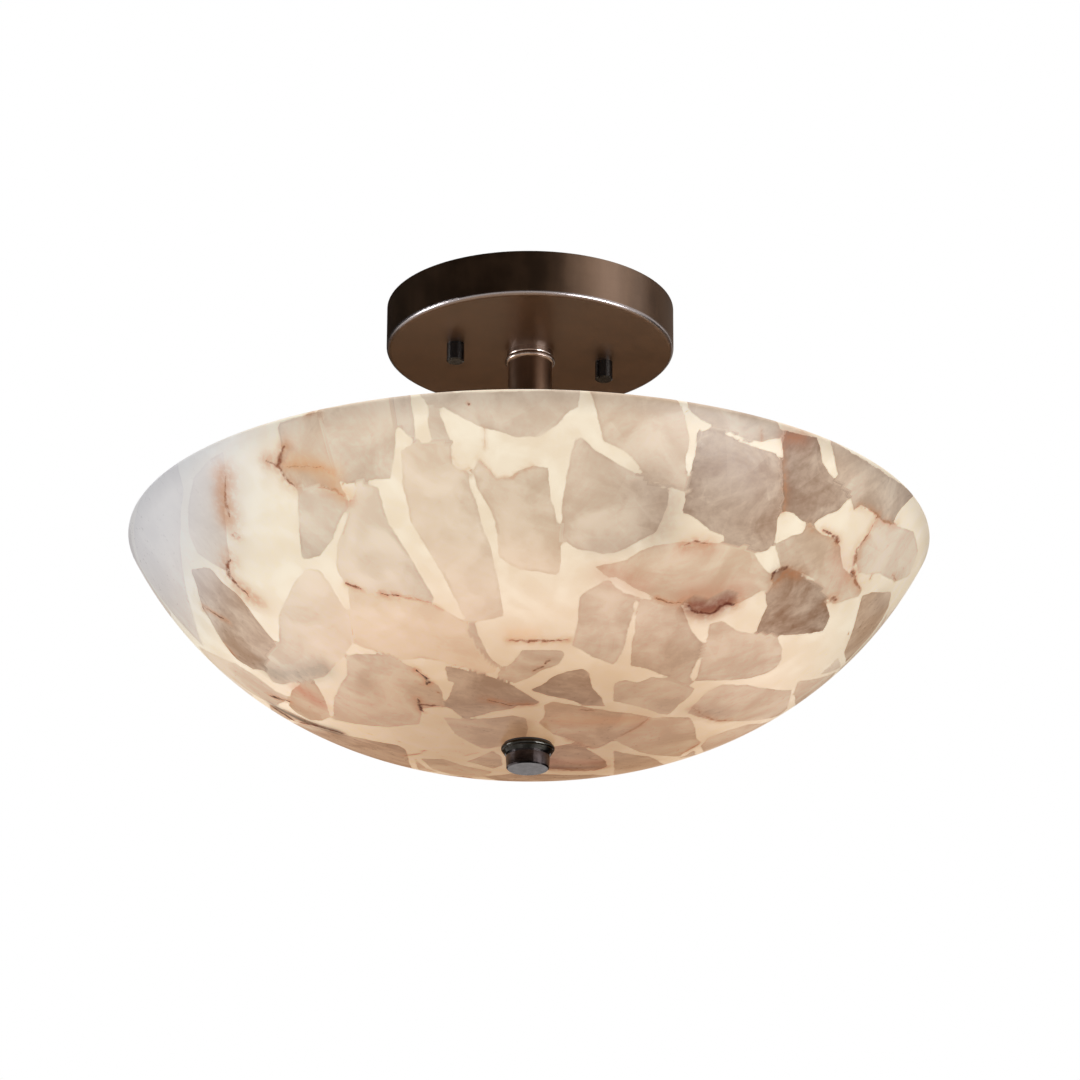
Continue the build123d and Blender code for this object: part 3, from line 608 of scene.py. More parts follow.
# Each stone that the photograph shows: how dark it is, from 0 to 1, how warm its tint is, from
# -1 for grey to 1 for orange brown, and its outline in pixels of the photograph.
stones = {
    "under_left_rim": (0.24, 0.0, [
        (309, 483), (335, 483), (352, 490), (360, 497), (352, 515), (343, 535), (330, 552), (312, 555),
        (309, 520),
    ]),
    "left_rim_stained": (0.42, 0.3, [
        (290, 418), (335, 405), (340, 430), (345, 465), (356, 490), (335, 483), (306, 481), (299, 475),
        (290, 461), (294, 447), (292, 430),
    ]),
    "left_rim": (0.36, 0.15, [
        (335, 404), (403, 394), (408, 420), (408, 440), (402, 475), (370, 478), (357, 480), (345, 465),
        (333, 440),
    ]),
    "rim_wedge": (0.5, -0.3, [
        (402, 393), (423, 390), (426, 415), (429, 438), (428, 440), (421, 435), (410, 422), (404, 408),
    ]),
    "rim_sliver": (0.35, 0.0, [(442, 400), (450, 402), (455, 420), (463, 440), (445, 440), (440, 420)]),
    "long_pale": (0.14, 0.2, [
        (413, 445), (430, 440), (463, 442), (464, 463), (470, 468), (482, 470), (480, 485), (487, 500),
        (492, 525), (500, 545), (503, 560), (508, 580), (510, 600), (512, 615), (505, 618), (490, 620),
        (477, 620), (470, 612), (466, 600), (455, 580), (445, 560), (430, 535), (420, 518), (418, 500),
        (413, 480),
    ]),
    "front_rim": (0.36, 0.0, [
        (430, 388), (594, 389), (591, 408), (578, 415), (572, 424), (558, 433), (552, 437), (530, 437),
        (510, 431), (497, 428), (480, 420), (470, 414), (455, 405), (440, 400),
    ]),
    "middle_pale": (0.24, 0.3, [
        (490, 457), (503, 472), (508, 478), (520, 477), (530, 470), (545, 466), (560, 468), (561, 500),
        (566, 515), (571, 540), (570, 560), (568, 577), (545, 571), (530, 570), (520, 565), (508, 555),
        (508, 540), (505, 520), (500, 508), (490, 490), (483, 470),
    ]),
    "left_spike": (0.14, 0.0, [
        (370, 478), (390, 484), (394, 505), (400, 522), (412, 540), (420, 555), (430, 572), (440, 590),
        (443, 598), (438, 600), (428, 598), (420, 592), (405, 593), (390, 590), (370, 585), (353, 578),
        (346, 565), (347, 540), (355, 520), (362, 500),
    ]),
    "wide_pale": (0.05, 0.35, [
        (357, 580), (390, 591), (420, 594), (438, 601), (452, 607), (465, 615), (475, 620), (478, 635),
        (485, 647), (495, 660), (505, 672), (490, 672), (470, 665), (450, 660), (430, 656), (412, 657),
        (402, 652), (375, 645), (363, 640), (360, 625), (358, 600),
    ]),
    "grey_centre": (0.45, 0.1, [
        (588, 437), (596, 440), (604, 450), (620, 460), (640, 472), (652, 478), (660, 486), (680, 494),
        (678, 508), (674, 520), (666, 535), (650, 543), (636, 550), (625, 555), (614, 556), (600, 553),
        (588, 551), (578, 544), (571, 540), (572, 515), (575, 490), (580, 465), (584, 450),
    ]),
    "rim_right_of_centre": (0.36, 0.35, [
        (602, 389), (690, 400), (698, 420), (702, 440), (701, 452), (697, 460), (698, 475), (700, 480),
        (699, 497), (690, 494), (676, 488), (660, 482), (652, 472), (642, 458), (630, 450), (615, 443),
        (612, 430), (608, 410),
    ]),
    "right_rim_band": (0.5, -0.1, [
        (700, 400), (790, 424), (795, 443), (775, 447), (760, 446), (745, 437), (725, 430), (715, 425),
        (702, 415),
    ]),
    "grey_right": (1.12, 0.08, [
        (710, 432), (716, 435), (728, 432), (740, 440), (760, 450), (775, 455), (787, 458), (792, 465),
        (793, 500), (790, 518), (788, 530), (785, 548), (778, 557), (770, 558), (760, 555), (756, 550),
        (735, 548), (733, 540), (720, 534), (710, 525), (700, 518), (693, 516), (695, 505), (700, 490),
        (703, 475), (707, 455),
    ]),
    "right_rim_grey": (1.2, -0.1, [
        (797, 437), (830, 444), (832, 452), (835, 470), (843, 482), (850, 488), (860, 498), (862, 503),
        (855, 512), (850, 518), (838, 522), (828, 528), (820, 530), (812, 527), (805, 520), (798, 517),
        (791, 519), (794, 500), (794, 480), (795, 447),
    ]),
    "far_right_rim": (0.72, 0.0, [
        (843, 446), (928, 503), (915, 515), (908, 524), (905, 531), (897, 531), (888, 523), (882, 517),
        (872, 513), (865, 518), (862, 503), (850, 488),
    ]),
    "far_right": (0.26, 0.0, [
        (889, 526), (897, 531), (908, 534), (925, 540), (930, 560), (920, 585), (905, 590), (890, 582),
        (878, 583), (868, 580), (866, 565), (872, 552), (882, 540),
    ]),
    "right_red_edge": (0.58, 0.35, [
        (785, 550), (800, 543), (812, 540), (820, 529), (832, 540), (845, 545), (850, 552), (853, 575),
        (865, 585), (872, 597), (870, 604), (855, 608), (845, 611), (840, 610), (835, 600), (826, 587),
        (815, 580), (800, 573), (790, 573),
    ]),
    "right_dark_top": (1.25, 0.0, [
        (781, 583), (783, 579), (790, 575), (797, 573), (805, 578), (815, 585), (825, 590), (833, 600),
        (836, 612), (839, 623), (836, 632), (832, 638), (805, 641), (790, 641), (775, 638), (765, 637),
        (767, 630), (772, 620), (776, 612), (774, 600), (780, 597), (783, 590),
    ]),
    "red_belly": (0.42, 0.45, [
        (604, 568), (615, 566), (635, 562), (650, 553), (665, 548), (690, 545), (710, 546), (735, 548),
        (756, 552), (765, 560), (772, 572), (781, 580), (783, 590), (778, 597), (770, 597), (755, 605),
        (745, 609), (735, 608), (727, 614), (718, 619), (703, 617), (697, 608), (690, 606), (672, 605),
        (665, 602), (655, 596), (645, 591), (635, 585), (625, 579), (613, 576),
    ]),
    "grey_below_centre": (0.42, 0.2, [
        (613, 583), (618, 582), (625, 590), (632, 595), (645, 598), (643, 605), (640, 620), (637, 632),
        (634, 645), (630, 655), (625, 663), (621, 667), (612, 663), (600, 659), (590, 652), (579, 647),
        (585, 630), (587, 615), (588, 600), (592, 595), (603, 588),
    ]),
    "below_red_belly": (0.6, 0.3, [
        (648, 600), (665, 604), (690, 607), (695, 620), (700, 635), (712, 648), (711, 655), (705, 665),
        (698, 680), (700, 688), (690, 687), (675, 680), (655, 672), (638, 668), (640, 645), (643, 630),
        (645, 615),
    ]),
    "right_bean": (0.48, 0.2, [
        (718, 628), (730, 625), (745, 635), (760, 639), (785, 640), (791, 655), (790, 665), (785, 673),
        (775, 679), (760, 683), (740, 685), (712, 685), (703, 685), (708, 668), (712, 655), (716, 640),
    ]),
    "right_limb": (0.85, 0.6, [
        (872, 603), (885, 600), (902, 600), (899, 615), (892, 628), (882, 642), (868, 657), (855, 670),
        (853, 660), (857, 650), (863, 635), (867, 620),
    ]),
    "left_limb": (0.95, 0.5, [
        (202, 562), (215, 560), (222, 562), (232, 575), (250, 590), (262, 608), (275, 625), (285, 637),
        (277, 650), (275, 665), (262, 663), (245, 652), (232, 635), (220, 613), (213, 602), (206, 575),
    ]),
    "left_shadowed": (0.12, 0.1, [
        (297, 590), (305, 575), (317, 563), (330, 565), (340, 580), (345, 590), (358, 610), (362, 630),
        (360, 640), (350, 655), (340, 665), (333, 672), (320, 675), (300, 677), (290, 679), (280, 676),
        (275, 665), (277, 645), (288, 635), (288, 610),
    ]),
    "left_limb_strip": (0.45, 0.25, [
        (208, 638), (225, 648), (245, 657), (262, 668), (275, 678), (285, 686), (298, 692), (285, 700),
        (262, 688), (236, 668), (218, 652),
    ]),
    "red_corner": (0.62, 0.8, [
        (298, 692), (300, 685), (310, 677), (320, 675), (326, 682), (332, 692), (338, 712), (330, 716),
        (318, 715), (305, 708), (297, 700),
    ]),
    "orange_limb": (0.95, 0.6, [
        (300, 717), (310, 718), (340, 727), (350, 730), (372, 735), (405, 742), (412, 746), (415, 753),
        (420, 766), (400, 764), (370, 752), (340, 738),
    ]),
    "lower_left": (0.45, 0.25, [
        (355, 652), (365, 650), (385, 650), (400, 653), (412, 660), (424, 667), (436, 678), (445, 683),
        (450, 690), (450, 704), (430, 706), (427, 722), (415, 722), (395, 724), (375, 722), (355, 718),
        (341, 715), (342, 693), (348, 680), (355, 670),
    ]),
    "thin_strip": (0.5, 0.3, [
        (475, 620), (482, 620), (487, 635), (492, 645), (500, 660), (512, 667), (508, 669), (495, 660),
        (484, 645), (478, 632),
    ]),
    "small_speckled": (0.5, 0.1, [
        (530, 650), (548, 650), (570, 651), (573, 655), (567, 665), (560, 668), (548, 671), (537, 678),
        (522, 683), (505, 676), (512, 668), (522, 660),
    ]),
    "lower_middle_dark": (0.86, 0.15, [
        (453, 664), (470, 668), (490, 673), (510, 680), (522, 686), (535, 694), (548, 703), (540, 705),
        (525, 705), (520, 708), (500, 711), (480, 716), (470, 717), (460, 708), (450, 704), (455, 697),
        (460, 686), (461, 680), (455, 680),
    ]),
    "mauve_fan": (0.9, 0.15, [
        (560, 677), (575, 672), (590, 670), (597, 675), (600, 690), (609, 700), (612, 708), (590, 706),
        (575, 700), (555, 696), (537, 690), (548, 686),
    ]),
    "orange_above_knob": (0.5, 0.7, [
        (551, 706), (560, 702), (575, 705), (612, 712), (640, 716), (655, 719), (655, 722), (645, 730),
        (635, 735), (625, 740), (605, 750), (590, 748), (580, 742), (570, 738), (560, 735), (550, 727),
        (545, 723), (551, 718),
    ]),
    "left_of_knob": (0.45, 0.2, [
        (450, 715), (470, 718), (500, 717), (520, 715), (533, 718), (535, 728), (533, 738), (515, 745),
        (490, 748), (475, 740), (462, 732), (455, 722),
    ]),
    "red_beside_knob": (0.95, 0.85, [
        (553, 752), (556, 748), (575, 745), (585, 744), (595, 751), (607, 758), (613, 763), (614, 768),
        (608, 771), (595, 772), (575, 771), (553, 769),
    ]),
    "under_knob": (0.85, 0.4, [
        (490, 775), (520, 773), (560, 775), (600, 776), (615, 777), (610, 782), (560, 784), (510, 782),
    ]),
    "small_left_of_knob": (0.45, 0.3, [
        (473, 760), (485, 756), (500, 750), (508, 756), (510, 765), (500, 768), (485, 763),
    ]),
    "lower_left_tan": (0.45, 0.35, [
        (428, 756), (450, 757), (470, 764), (500, 771), (486, 776), (460, 773), (440, 767),
    ]),
    "lower_right_oval": (0.5, 0.15, [
        (622, 684), (633, 682), (645, 685), (660, 680), (675, 682), (690, 687), (703, 692), (695, 702),
        (687, 708), (676, 718), (668, 717), (655, 712), (640, 708), (620, 703),
    ]),
    "lower_right_long": (0.45, 0.2, [
        (712, 698), (720, 693), (730, 689), (755, 690), (775, 694), (800, 696), (798, 705), (795, 715),
        (788, 721), (770, 725), (745, 726), (720, 725), (708, 721), (695, 717), (700, 710),
    ]),
    "lower_right_tan": (0.38, 0.5, [
        (655, 721), (670, 720), (697, 721), (702, 730), (704, 742), (708, 746), (703, 751), (692, 756),
        (687, 760), (670, 759), (655, 757), (640, 752), (622, 742), (640, 733), (650, 728),
    ]),
    "bottom_tan": (0.5, 0.45, [
        (620, 752), (640, 757), (655, 759), (665, 763), (674, 770), (650, 775), (620, 779),
    ]),
    "right_bottom_limb": (0.45, 0.3, [
        (715, 742), (735, 735), (757, 729), (785, 725), (770, 735), (735, 750), (712, 758), (708, 750),
    ]),
    "right_limb_low": (0.6, 0.2, [
        (806, 687), (820, 686), (845, 679), (836, 690), (820, 703), (803, 714), (802, 700),
    ]),
    "far_left_strip": (0.3, 0.1, [
        (200, 500), (206, 470), (222, 452), (236, 445), (238, 470), (236, 500), (238, 530), (240, 550),
        (238, 565), (222, 556), (208, 545), (200, 525),
    ]),
    "far_left_grey": (0.28, -0.9, [
        (146, 520), (152, 492), (168, 470), (190, 455), (196, 480), (192, 515), (192, 545), (196, 575),
        (204, 610), (214, 640), (200, 625), (172, 590), (152, 556),
    ]),
}

# Dark seams along stones' edges: how dark, how wide in mm, how far a brown glow reaches in mm,
# and the line in pixels.
seams = [
    (0.8, 0.7, 3.0, [(297, 441), (294, 447), (290, 461)]),
    (0.75, 0.7, 3.5, [(278, 455), (290, 461), (299, 475), (306, 481)]),
    (0.7, 0.8, 7.0, [(238, 470), (237, 485), (238, 497), (241, 510)]),
    (0.6, 1.6, 3.0, [(244, 529), (250, 529)]),
    (0.8, 0.9, 5.0, [(241, 551), (238, 558), (239, 568), (246, 577), (252, 584), (262, 592)]),
    (0.95, 0.7, 1.6, [(213, 603), (214, 599), (227, 608), (238, 615)]),
    (0.7, 0.6, 1.5, [(235, 638), (244, 649)]),
    (1.0, 1.0, 2.0, [(279, 690), (298, 696)]),
    (1.0, 2.8, 4.0, [(284, 703), (300, 714)]),
    (0.9, 0.7, 2.0, [(302, 715), (325, 721), (350, 729)]),
    (0.8, 0.6, 1.8, [(355, 579), (370, 585)]),
    (0.85, 0.7, 2.0, [(390, 590), (403, 592), (408, 593)]),
    (0.55, 0.5, 1.2, [(408, 593), (438, 600), (451, 608)]),
    (1.0, 0.8, 2.6, [(424, 667), (433, 675), (436, 678), (434, 682)]),
    (0.95, 0.7, 2.2, [(425, 696), (430, 709)]),
    (0.85, 0.6, 1.6, [(427, 702), (447, 704)]),
    (0.65, 0.5, 1.5, [(411, 753), (426, 751), (432, 748)]),
    (0.85, 0.8, 3.0, [(493, 699), (508, 702), (516, 705), (538, 705)]),
    (0.75, 0.6, 2.2, [(517, 640), (538, 641), (576, 641)]),
    (0.9, 0.5, 0.8, [(541, 671), (551, 667)]),
    (0.9, 0.5, 0.8, [(553, 664), (557, 661)]),
    (0.75, 0.7, 3.0, [(694, 549), (704, 545), (718, 548)]),
    (0.8, 0.6, 1.6, [(665, 601), (676, 606), (690, 606)]),
    (0.92, 1.0, 4.5, [(697, 609), (704, 615), (719, 618), (735, 608), (743, 609)]),
    (0.95, 0.9, 1.6, [(781, 585), (783, 579), (797, 573)]),
    (0.55, 2.2, 4.0, [(785, 588), (797, 577), (812, 582)]),
    (0.8, 0.8, 2.4, [(834, 537), (838, 539), (842, 541)]),
    (0.8, 1.2, 2.4, [(843, 543), (849, 549)]),
    (0.4, 1.2, 2.4, [(819, 531), (824, 537)]),
    (0.7, 0.9, 3.6, [(889, 524), (879, 543), (868, 556), (863, 577), (866, 590), (870, 596)]),
    (0.85, 1.8, 4.0, [(862, 579), (863, 583)]),
    (0.45, 0.5, 1.6, [(797, 441), (796, 470), (797, 500), (794, 519)]),
    (0.55, 0.6, 3.0, [(797, 441), (806, 444), (814, 443)]),
    (0.6, 0.7, 2.2, [(865, 517), (871, 514), (884, 519), (897, 530), (908, 534)]),
    (0.6, 0.5, 1.2, [(880, 588), (882, 583)]),
    (0.6, 0.5, 1.2, [(903, 583), (907, 589)]),
    (0.8, 1.4, 3.6, [(841, 606), (846, 607)]),
    (0.8, 0.5, 0.6, [(858, 640), (858, 642)]),
    (0.65, 0.5, 1.5, [(572, 739), (590, 747), (600, 750)]),
    (0.8, 0.5, 1.2, [(588, 711), (600, 712)]),
    (0.75, 0.6, 3.0, [(554, 770), (600, 772), (613, 768)]),
    (0.8, 0.5, 1.0, [(611, 780), (617, 777)]),
    (0.6, 0.6, 2.0, [(708, 746), (690, 757)]),
    (0.5, 0.5, 1.5, [(655, 722), (636, 734), (628, 738)]),
    (0.6, 0.6, 2.4, [(700, 712), (722, 725), (738, 725)]),
    (0.45, 0.4, 0.8, [(496, 426), (496, 447)]),
    (0.4, 0.4, 1.2, [(490, 457), (508, 478), (520, 477), (545, 466)]),
    (0.4, 0.4, 1.2, [(463, 455), (470, 467), (481, 467)]),
    (0.55, 0.5, 3.6, [(335, 483), (348, 486), (361, 497)]),
    (0.5, 0.5, 1.4, [(775, 435), (774, 446)]),
    (0.5, 0.8, 2.4, [(320, 410), (332, 409)]),
    (0.7, 0.4, 0.8, [(405, 738), (408, 739)]),
    (0.7, 0.4, 0.8, [(376, 730), (379, 731)]),
    (0.6, 0.4, 0.8, [(445, 690), (447, 691)]),
    (0.8, 0.5, 0.6, [(481, 402), (482, 403)]),
    (0.5, 0.4, 0.6, [(472, 754), (483, 752)]),
    (0.6, 0.5, 2.0, [(299, 461), (330, 462), (343, 468)]),
]

# Soft discoloured patches, and one of painted shade: the tint, how strong, how far each reaches in mm,
# and the middle line.
# the grey green is painted shade, low on the bowl's left side
painted_grey_green_shade = (0.2, 0.17, 0.13)
rust = (0.5, 0.14, 0.06)
blood = (0.17, 0.02, 0.014)
orange = (0.85, 0.42, 0.16)
umber = (0.26, 0.15, 0.1)
rust_brown = (0.52, 0.22, 0.08)
black_brown = (0.04, 0.02, 0.015)
patches = [
    # painted shade low on the left side of the bowl
    (painted_grey_green_shade, 0.62, 7.0, [(282, 668), (305, 669), (330, 664)]),
    (blood, 1.0, 5.4, [(703, 609), (717, 613), (736, 604)]),
    (rust, 0.4, 8.0, [(700, 600), (745, 598)]),
    (rust_brown, 0.6, 5.0, [(234, 470), (236, 512)]),
    (rust_brown, 0.5, 4.5, [(252, 582), (272, 598)]),
    (orange, 0.45, 5.0, [(300, 455), (318, 458), (345, 470)]),
    (rust_brown, 0.45, 4.5, [(282, 456), (296, 452), (300, 440)]),
    (black_brown, 0.95, 4.2, [(284, 701), (312, 716), (345, 727)]),
    (orange, 0.35, 4.0, [(346, 480), (354, 490)]),
    (umber, 0.5, 5.0, [(786, 582), (800, 578), (812, 584)]),
    (umber, 0.62, 11.0, [(664, 492), (674, 505), (668, 530)]),
    (umber, 0.35, 5.0, [(605, 549), (640, 547)]),
    (umber, 0.35, 5.0, [(700, 712), (735, 720)]),
    (rust, 0.35, 5.0, [(800, 442), (818, 444)]),
    (rust, 0.35, 5.0, [(848, 560), (856, 585)]),
    (rust, 0.35, 6.0, [(615, 574), (650, 590)]),
    (umber, 0.45, 4.5, [(888, 606), (893, 616)]),
    (rust, 0.6, 6.0, [(308, 684), (326, 698)]),
    (blood, 0.5, 3.0, [(560, 768), (606, 769)]),
    (rust, 0.4, 5.0, [(560, 762), (605, 764)]),
    (orange, 0.35, 6.0, [(570, 722), (640, 722)]),
    (umber, 0.4, 4.0, [(527, 722), (532, 738)]),
    (orange, 0.35, 4.0, [(520, 634), (540, 634)]),
    (rust, 0.3, 5.0, [(690, 552), (720, 552)]),
    (umber, 0.8, 8.0, [(318, 728), (345, 742), (385, 757)]),
]

pale_stone = np.array(linear(237, 220, 199))
dark_stone = np.array(linear(173, 146, 125))
grey_shift = np.array((0.95, 0.99, 1.08))
warm_shift = np.array((1.06, 0.93, 0.78))


def stone_tint(darkness, warmth):
    """The colour of a stone from how dark and how warm it is."""
    shift = warm_shift if warmth > 0 else grey_shift
    return (pale_stone + (dark_stone - pale_stone) * darkness) * (1 + (shift - 1) * abs(warmth))


def flat_axes(normal):
    """Two directions across a normal, as columns."""
    side = np.cross(normal, (0.0, 0.0, 1.0) if abs(normal[2]) < 0.9 else (1.0, 0.0, 0.0))
    side /= np.linalg.norm(side)
    return np.stack([side, np.cross(normal, side)], 1)


def to_line(points, line, widths=None):
    """Distance from each point to the nearest point of a line, over its width there if given."""
    best = np.full(len(points), 1e3)
    if widths is None:
        widths = np.ones(len(line))
    for a, b, from_width, to_width in zip(line[:-1], line[1:], widths[:-1], widths[1:]):
        run = b - a
        share = np.clip(((points - a) @ run) / max(run @ run, 1e-12), 0, 1)
        away = np.linalg.norm(points - a - share[:, None] * run, axis=1)
        best = np.minimum(best, away / (from_width + (to_width - from_width) * share))
    return best


def wander(line, chance, amount):
    """A line with more points, which stray from it by up to about the given amount."""
    result = [line[0]]
    for a, b in zip(line[:-1], line[1:]):
        steps = max(2, round(float(np.linalg.norm(b - a)) / seam_step))
        for step in range(1, steps + 1):
            stray = 0 if step == steps else amount
            shift = np.array([chance.gauss(0, 0.5) for _ in range(3)]) * stray
            result.append(a + (b - a) * step / steps + shift)
    return np.array(result)


def thickness(count, chance):
    """Uneven widths for a line's points, about 1 and thinner toward both ends."""
    values = []
    level = 1.0
    for index in range(count):
        level = min(1.5, max(0.5, level + chance.gauss(0, 0.22)))
        taper = sin(pi * (index + 0.6) / (count + 0.2)) ** 0.6
        values.append(level * (0.25 + 0.75 * taper))
    return np.array(values)


def inside(points, outline):
    """Whether each flat point lies inside a closed outline."""
    result = np.zeros(len(points), bool)
    for a, b in zip(outline, np.roll(outline, -1, axis=0)):
        crosses = (a[1] > points[:, 1]) != (b[1] > points[:, 1])
        with np.errstate(divide="ignore", invalid="ignore"):
            at = (b[0] - a[0]) * (points[:, 1] - a[1]) / (b[1] - a[1]) + a[0]
        result ^= crosses & (points[:, 0] < at)
    return result


seam_step = 1.3 * mm  # between the points that a seam is given
seam_stray = 0.55 * mm  # about how far they stray from its line
fine_reach = 1.9 * mm  # how far from a seam the bowl's mesh is finer

# stones that the photograph doesn't show
hidden_stone_count = 36
hidden_stone_half = 34 * mm  # the furthest that one reaches inward from its edge
hidden_reach = 75 * mm  # the furthest that one reaches from its seed
hidden_spread = 22 * mm  # how unevenly two stones share the space between them


class Skin:
    """What each point of the bowl's mesh shows: stones, seams and patches."""

    reach = 9 * mm  # how far outside a stone its edge distance is followed
    touching = 1.3 * mm  # stones no further apart than twice this meet without resin between
    seam_reach = 6.0  # how many times its width a seam is followed
    shade_length = 22 * mm  # the way across a stone over which its shade leans fully

    def __init__(self, points):
        self.points = to_skin(points)
        self.normals = skin_normal(self.points)
        count = len(points)
        self.edge = np.full(count, -self.reach)
        self.second = np.full(count, -self.reach)
        self.tint = np.tile(stone_tint(0.3, 0.0), (count, 1))
        self.grain = points.copy()
        self.seam = np.full(count, self.seam_reach)
        self.seam_depth = np.zeros(count)
        self.glow = np.zeros(count)
        self.patch = np.zeros((count, 4))
        self.depth = np.linalg.norm(self.points - points, axis=1) / bowl_wall
        self.random = random.Random(7)

    def near(self, centre, normal, reach):
        """Which points lie within reach of a centre, on its side of the bowl."""
        close = np.linalg.norm(self.points - centre, axis=1) < reach
        return np.flatnonzero(close & (self.normals @ normal > 0.25))

    def near_line(self, line, reach):
        """Which points lie within reach of a line, the line's centre and flat axes there."""
        centre = to_skin(line.mean(0)[None])[0]
        normal = skin_normal(centre[None])[0]
        size = np.linalg.norm(line - centre, axis=1).max()
        return self.near(centre, normal, size + reach), centre, flat_axes(normal)

    def flattened(self, pixels, reach):
        """Which points lie within reach of a line of pixels, and both laid flat."""
        line = np.array([on_skin(pixel) for pixel in pixels])
        chosen, centre, axes = self.near_line(line, reach)
        return chosen, (self.points[chosen] - centre) @ axes, (line - centre) @ axes

    def lay(self, chosen, distance, tint):
        """Lays one stone over the points where it reaches further than the stones before it."""
        self.second[chosen] = np.maximum(self.second[chosen], np.minimum(self.edge[chosen], distance))
        wins = distance > self.edge[chosen]
        rows = chosen[wins]
        self.edge[rows] = distance[wins]
        lean = np.array([self.random.uniform(-1, 1) for _ in range(3)])
        place = self.points[rows]
        middle = place[distance[wins].argmax()] if len(rows) else place
        slope = np.clip((place - middle) @ lean / self.shade_length, -1, 1)
        self.tint[rows] = tint * (1 + 0.1 * slope[:, None])
        turn = self.random.uniform(0, 2 * pi)
        shift = np.array([self.random.uniform(-1, 1) for _ in range(3)])
        x, y, z = place.T
        turned = np.stack([x * cos(turn) - z * sin(turn), y, x * sin(turn) + z * cos(turn)], 1)
        self.grain[rows] = turned + shift

    def join(self):
        """Closes the gaps between stones that touch, and says how near their joint is."""
        close = np.clip((self.second + self.touching) / (0.5 * self.touching), 0, 1)
        apart = (self.edge - self.second) / mm
        self.edge += close * 1.6 * mm
        return np.where(close > 0, apart / np.maximum(close, 0.01), 20.0).clip(0, 20)

    def photographed_stones(self):
        """The stones that the photograph shows, each at its own place."""
        for darkness, warmth, pixels in stones.values():
            chosen, flat, outline = self.flattened(pixels, self.reach)
            distance = to_line(flat, np.vstack([outline, outline[:1]]))
            distance = np.where(inside(flat, outline), distance, -distance)
            self.lay(chosen, distance, stone_tint(darkness, warmth))

    def hidden_stones(self):
        """Stones of the same kind on the sides that the photograph doesn't show."""
        seeds = np.array(self.hidden_seeds())
        weights = np.array([self.random.uniform(0, 1) * hidden_spread**2 for _ in seeds])
        known = self.edge.copy()
        for index, seed in enumerate(seeds):
            normal = skin_normal(seed[None])[0]
            chosen = self.near(seed, normal, hidden_reach)
            flat = (self.points[chosen] - seed) @ flat_axes(normal)
            distance = self.between_seeds(self.points[chosen], flat, index, seeds, weights)
            for _ in range(self.random.choice((0, 1, 1, 2))):
                turn = self.random.uniform(0, 2 * pi)
                cut = self.random.uniform(14, 26) * mm
                distance = np.minimum(distance, cut - flat @ np.array((cos(turn), sin(turn))))
            distance = np.minimum(distance, -known[chosen] - self.random.uniform(1.5, 4.0) * mm)
            darkness = self.random.triangular(0.05, 1.0, 0.4)
            warmth = self.random.triangular(-0.4, 0.7, 0.1)
            self.lay(chosen, distance, stone_tint(darkness, warmth))
            if self.random.random() < 0.6:
                self.edge_seam(chosen, distance, flat)

    def between_seeds(self, here, flat, index, seeds, weights):
        """How far inside a hidden stone's borders with the stones next to it points lie."""
        apart = np.linalg.norm(seeds - seeds[index], axis=1)
        distance = np.full(len(here), hidden_stone_half)
        from_seed = ((here - seeds[index]) ** 2).sum(1) - weights[index]
        for other in np.argsort(apart)[1:10]:
            from_other = ((here - seeds[other]) ** 2).sum(1) - weights[other]
            gap = self.random.triangular(0.2, 5.0, 1.0) * mm
            lean = flat @ np.array([self.random.uniform(-0.22, 0.22) for _ in range(2)])
            border = (from_other - from_seed) / (2 * apart[other]) + lean - gap
            distance = np.minimum(distance, border)
        return distance

    def hidden_seeds(self):
        """The middles of the hidden stones, unevenly spread and a little way past the rim too."""
        to_camera = np.array(-camera_forward)
        seeds = []
        while len(seeds) < hidden_stone_count:
            azimuth = self.random.uniform(0, 2 * pi)
            share = self.random.uniform(0, 1)
            angle = acos(1 - share * (1 - cos(outer_end + 0.06)))
            x = foot_radius + arc_radius * sin(angle)
            place = np.array([x * cos(azimuth), x * sin(azimuth), arc_z - arc_radius * cos(angle)])
            if skin_normal(place[None])[0] @ to_camera > -0.06:
                continue
            gap = self.random.uniform(30, 52) * mm
            clear = all(np.linalg.norm(place - other) > gap for other in seeds)
            if clear or self.random.random() < 0.002:
                seeds.append(place)
        return seeds

    def edge_seam(self, chosen, distance, flat):
        """A dark seam along a part of a hidden stone's edge."""
        turn = self.random.uniform(0, 2 * pi)
        spread = self.random.uniform(0.25, 0.7)
        depth = self.random.uniform(0.5, 1.0)
        size = np.maximum(np.linalg.norm(flat, axis=1), 1e-6)
        facing = (flat @ np.array((cos(turn), sin(turn)))) / size
        along = np.clip((facing - cos(spread)) / (1 - cos(spread)), 0, 1) ** 0.4
        away = np.abs(distance)
        width = np.maximum(along, 0.05) * self.random.uniform(0.5, 0.8) * mm
        reach = self.random.uniform(1.5, 4) * mm
        self.mark(chosen, away / width, depth, away, reach, depth * along)

    def mark(self, chosen, seam, depth, distance, reach, glow):
        """Marks a seam by the distance from it over its width, and a glow that fades over reach."""
        nearer = seam < self.seam[chosen]
        rows = chosen[nearer]
        self.seam[rows] = seam[nearer]
        self.seam_depth[rows] = depth
        halo = np.exp(-((distance / reach) ** 2)) * glow
        self.glow[chosen] = np.maximum(self.glow[chosen], halo)

    def photographed_seams(self):
        """The dark seams that the photograph shows, in uneven widths."""
        for (depth, width, reach, _), line in zip(seams, seam_lines()):
            chosen, _, _ = self.near_line(line, 3 * reach * mm)
            widths = thickness(len(line), self.random) * width * mm
            here = self.points[chosen]
            self.mark(chosen, to_line(here, line, widths), depth, to_line(here, line), reach * mm, depth)

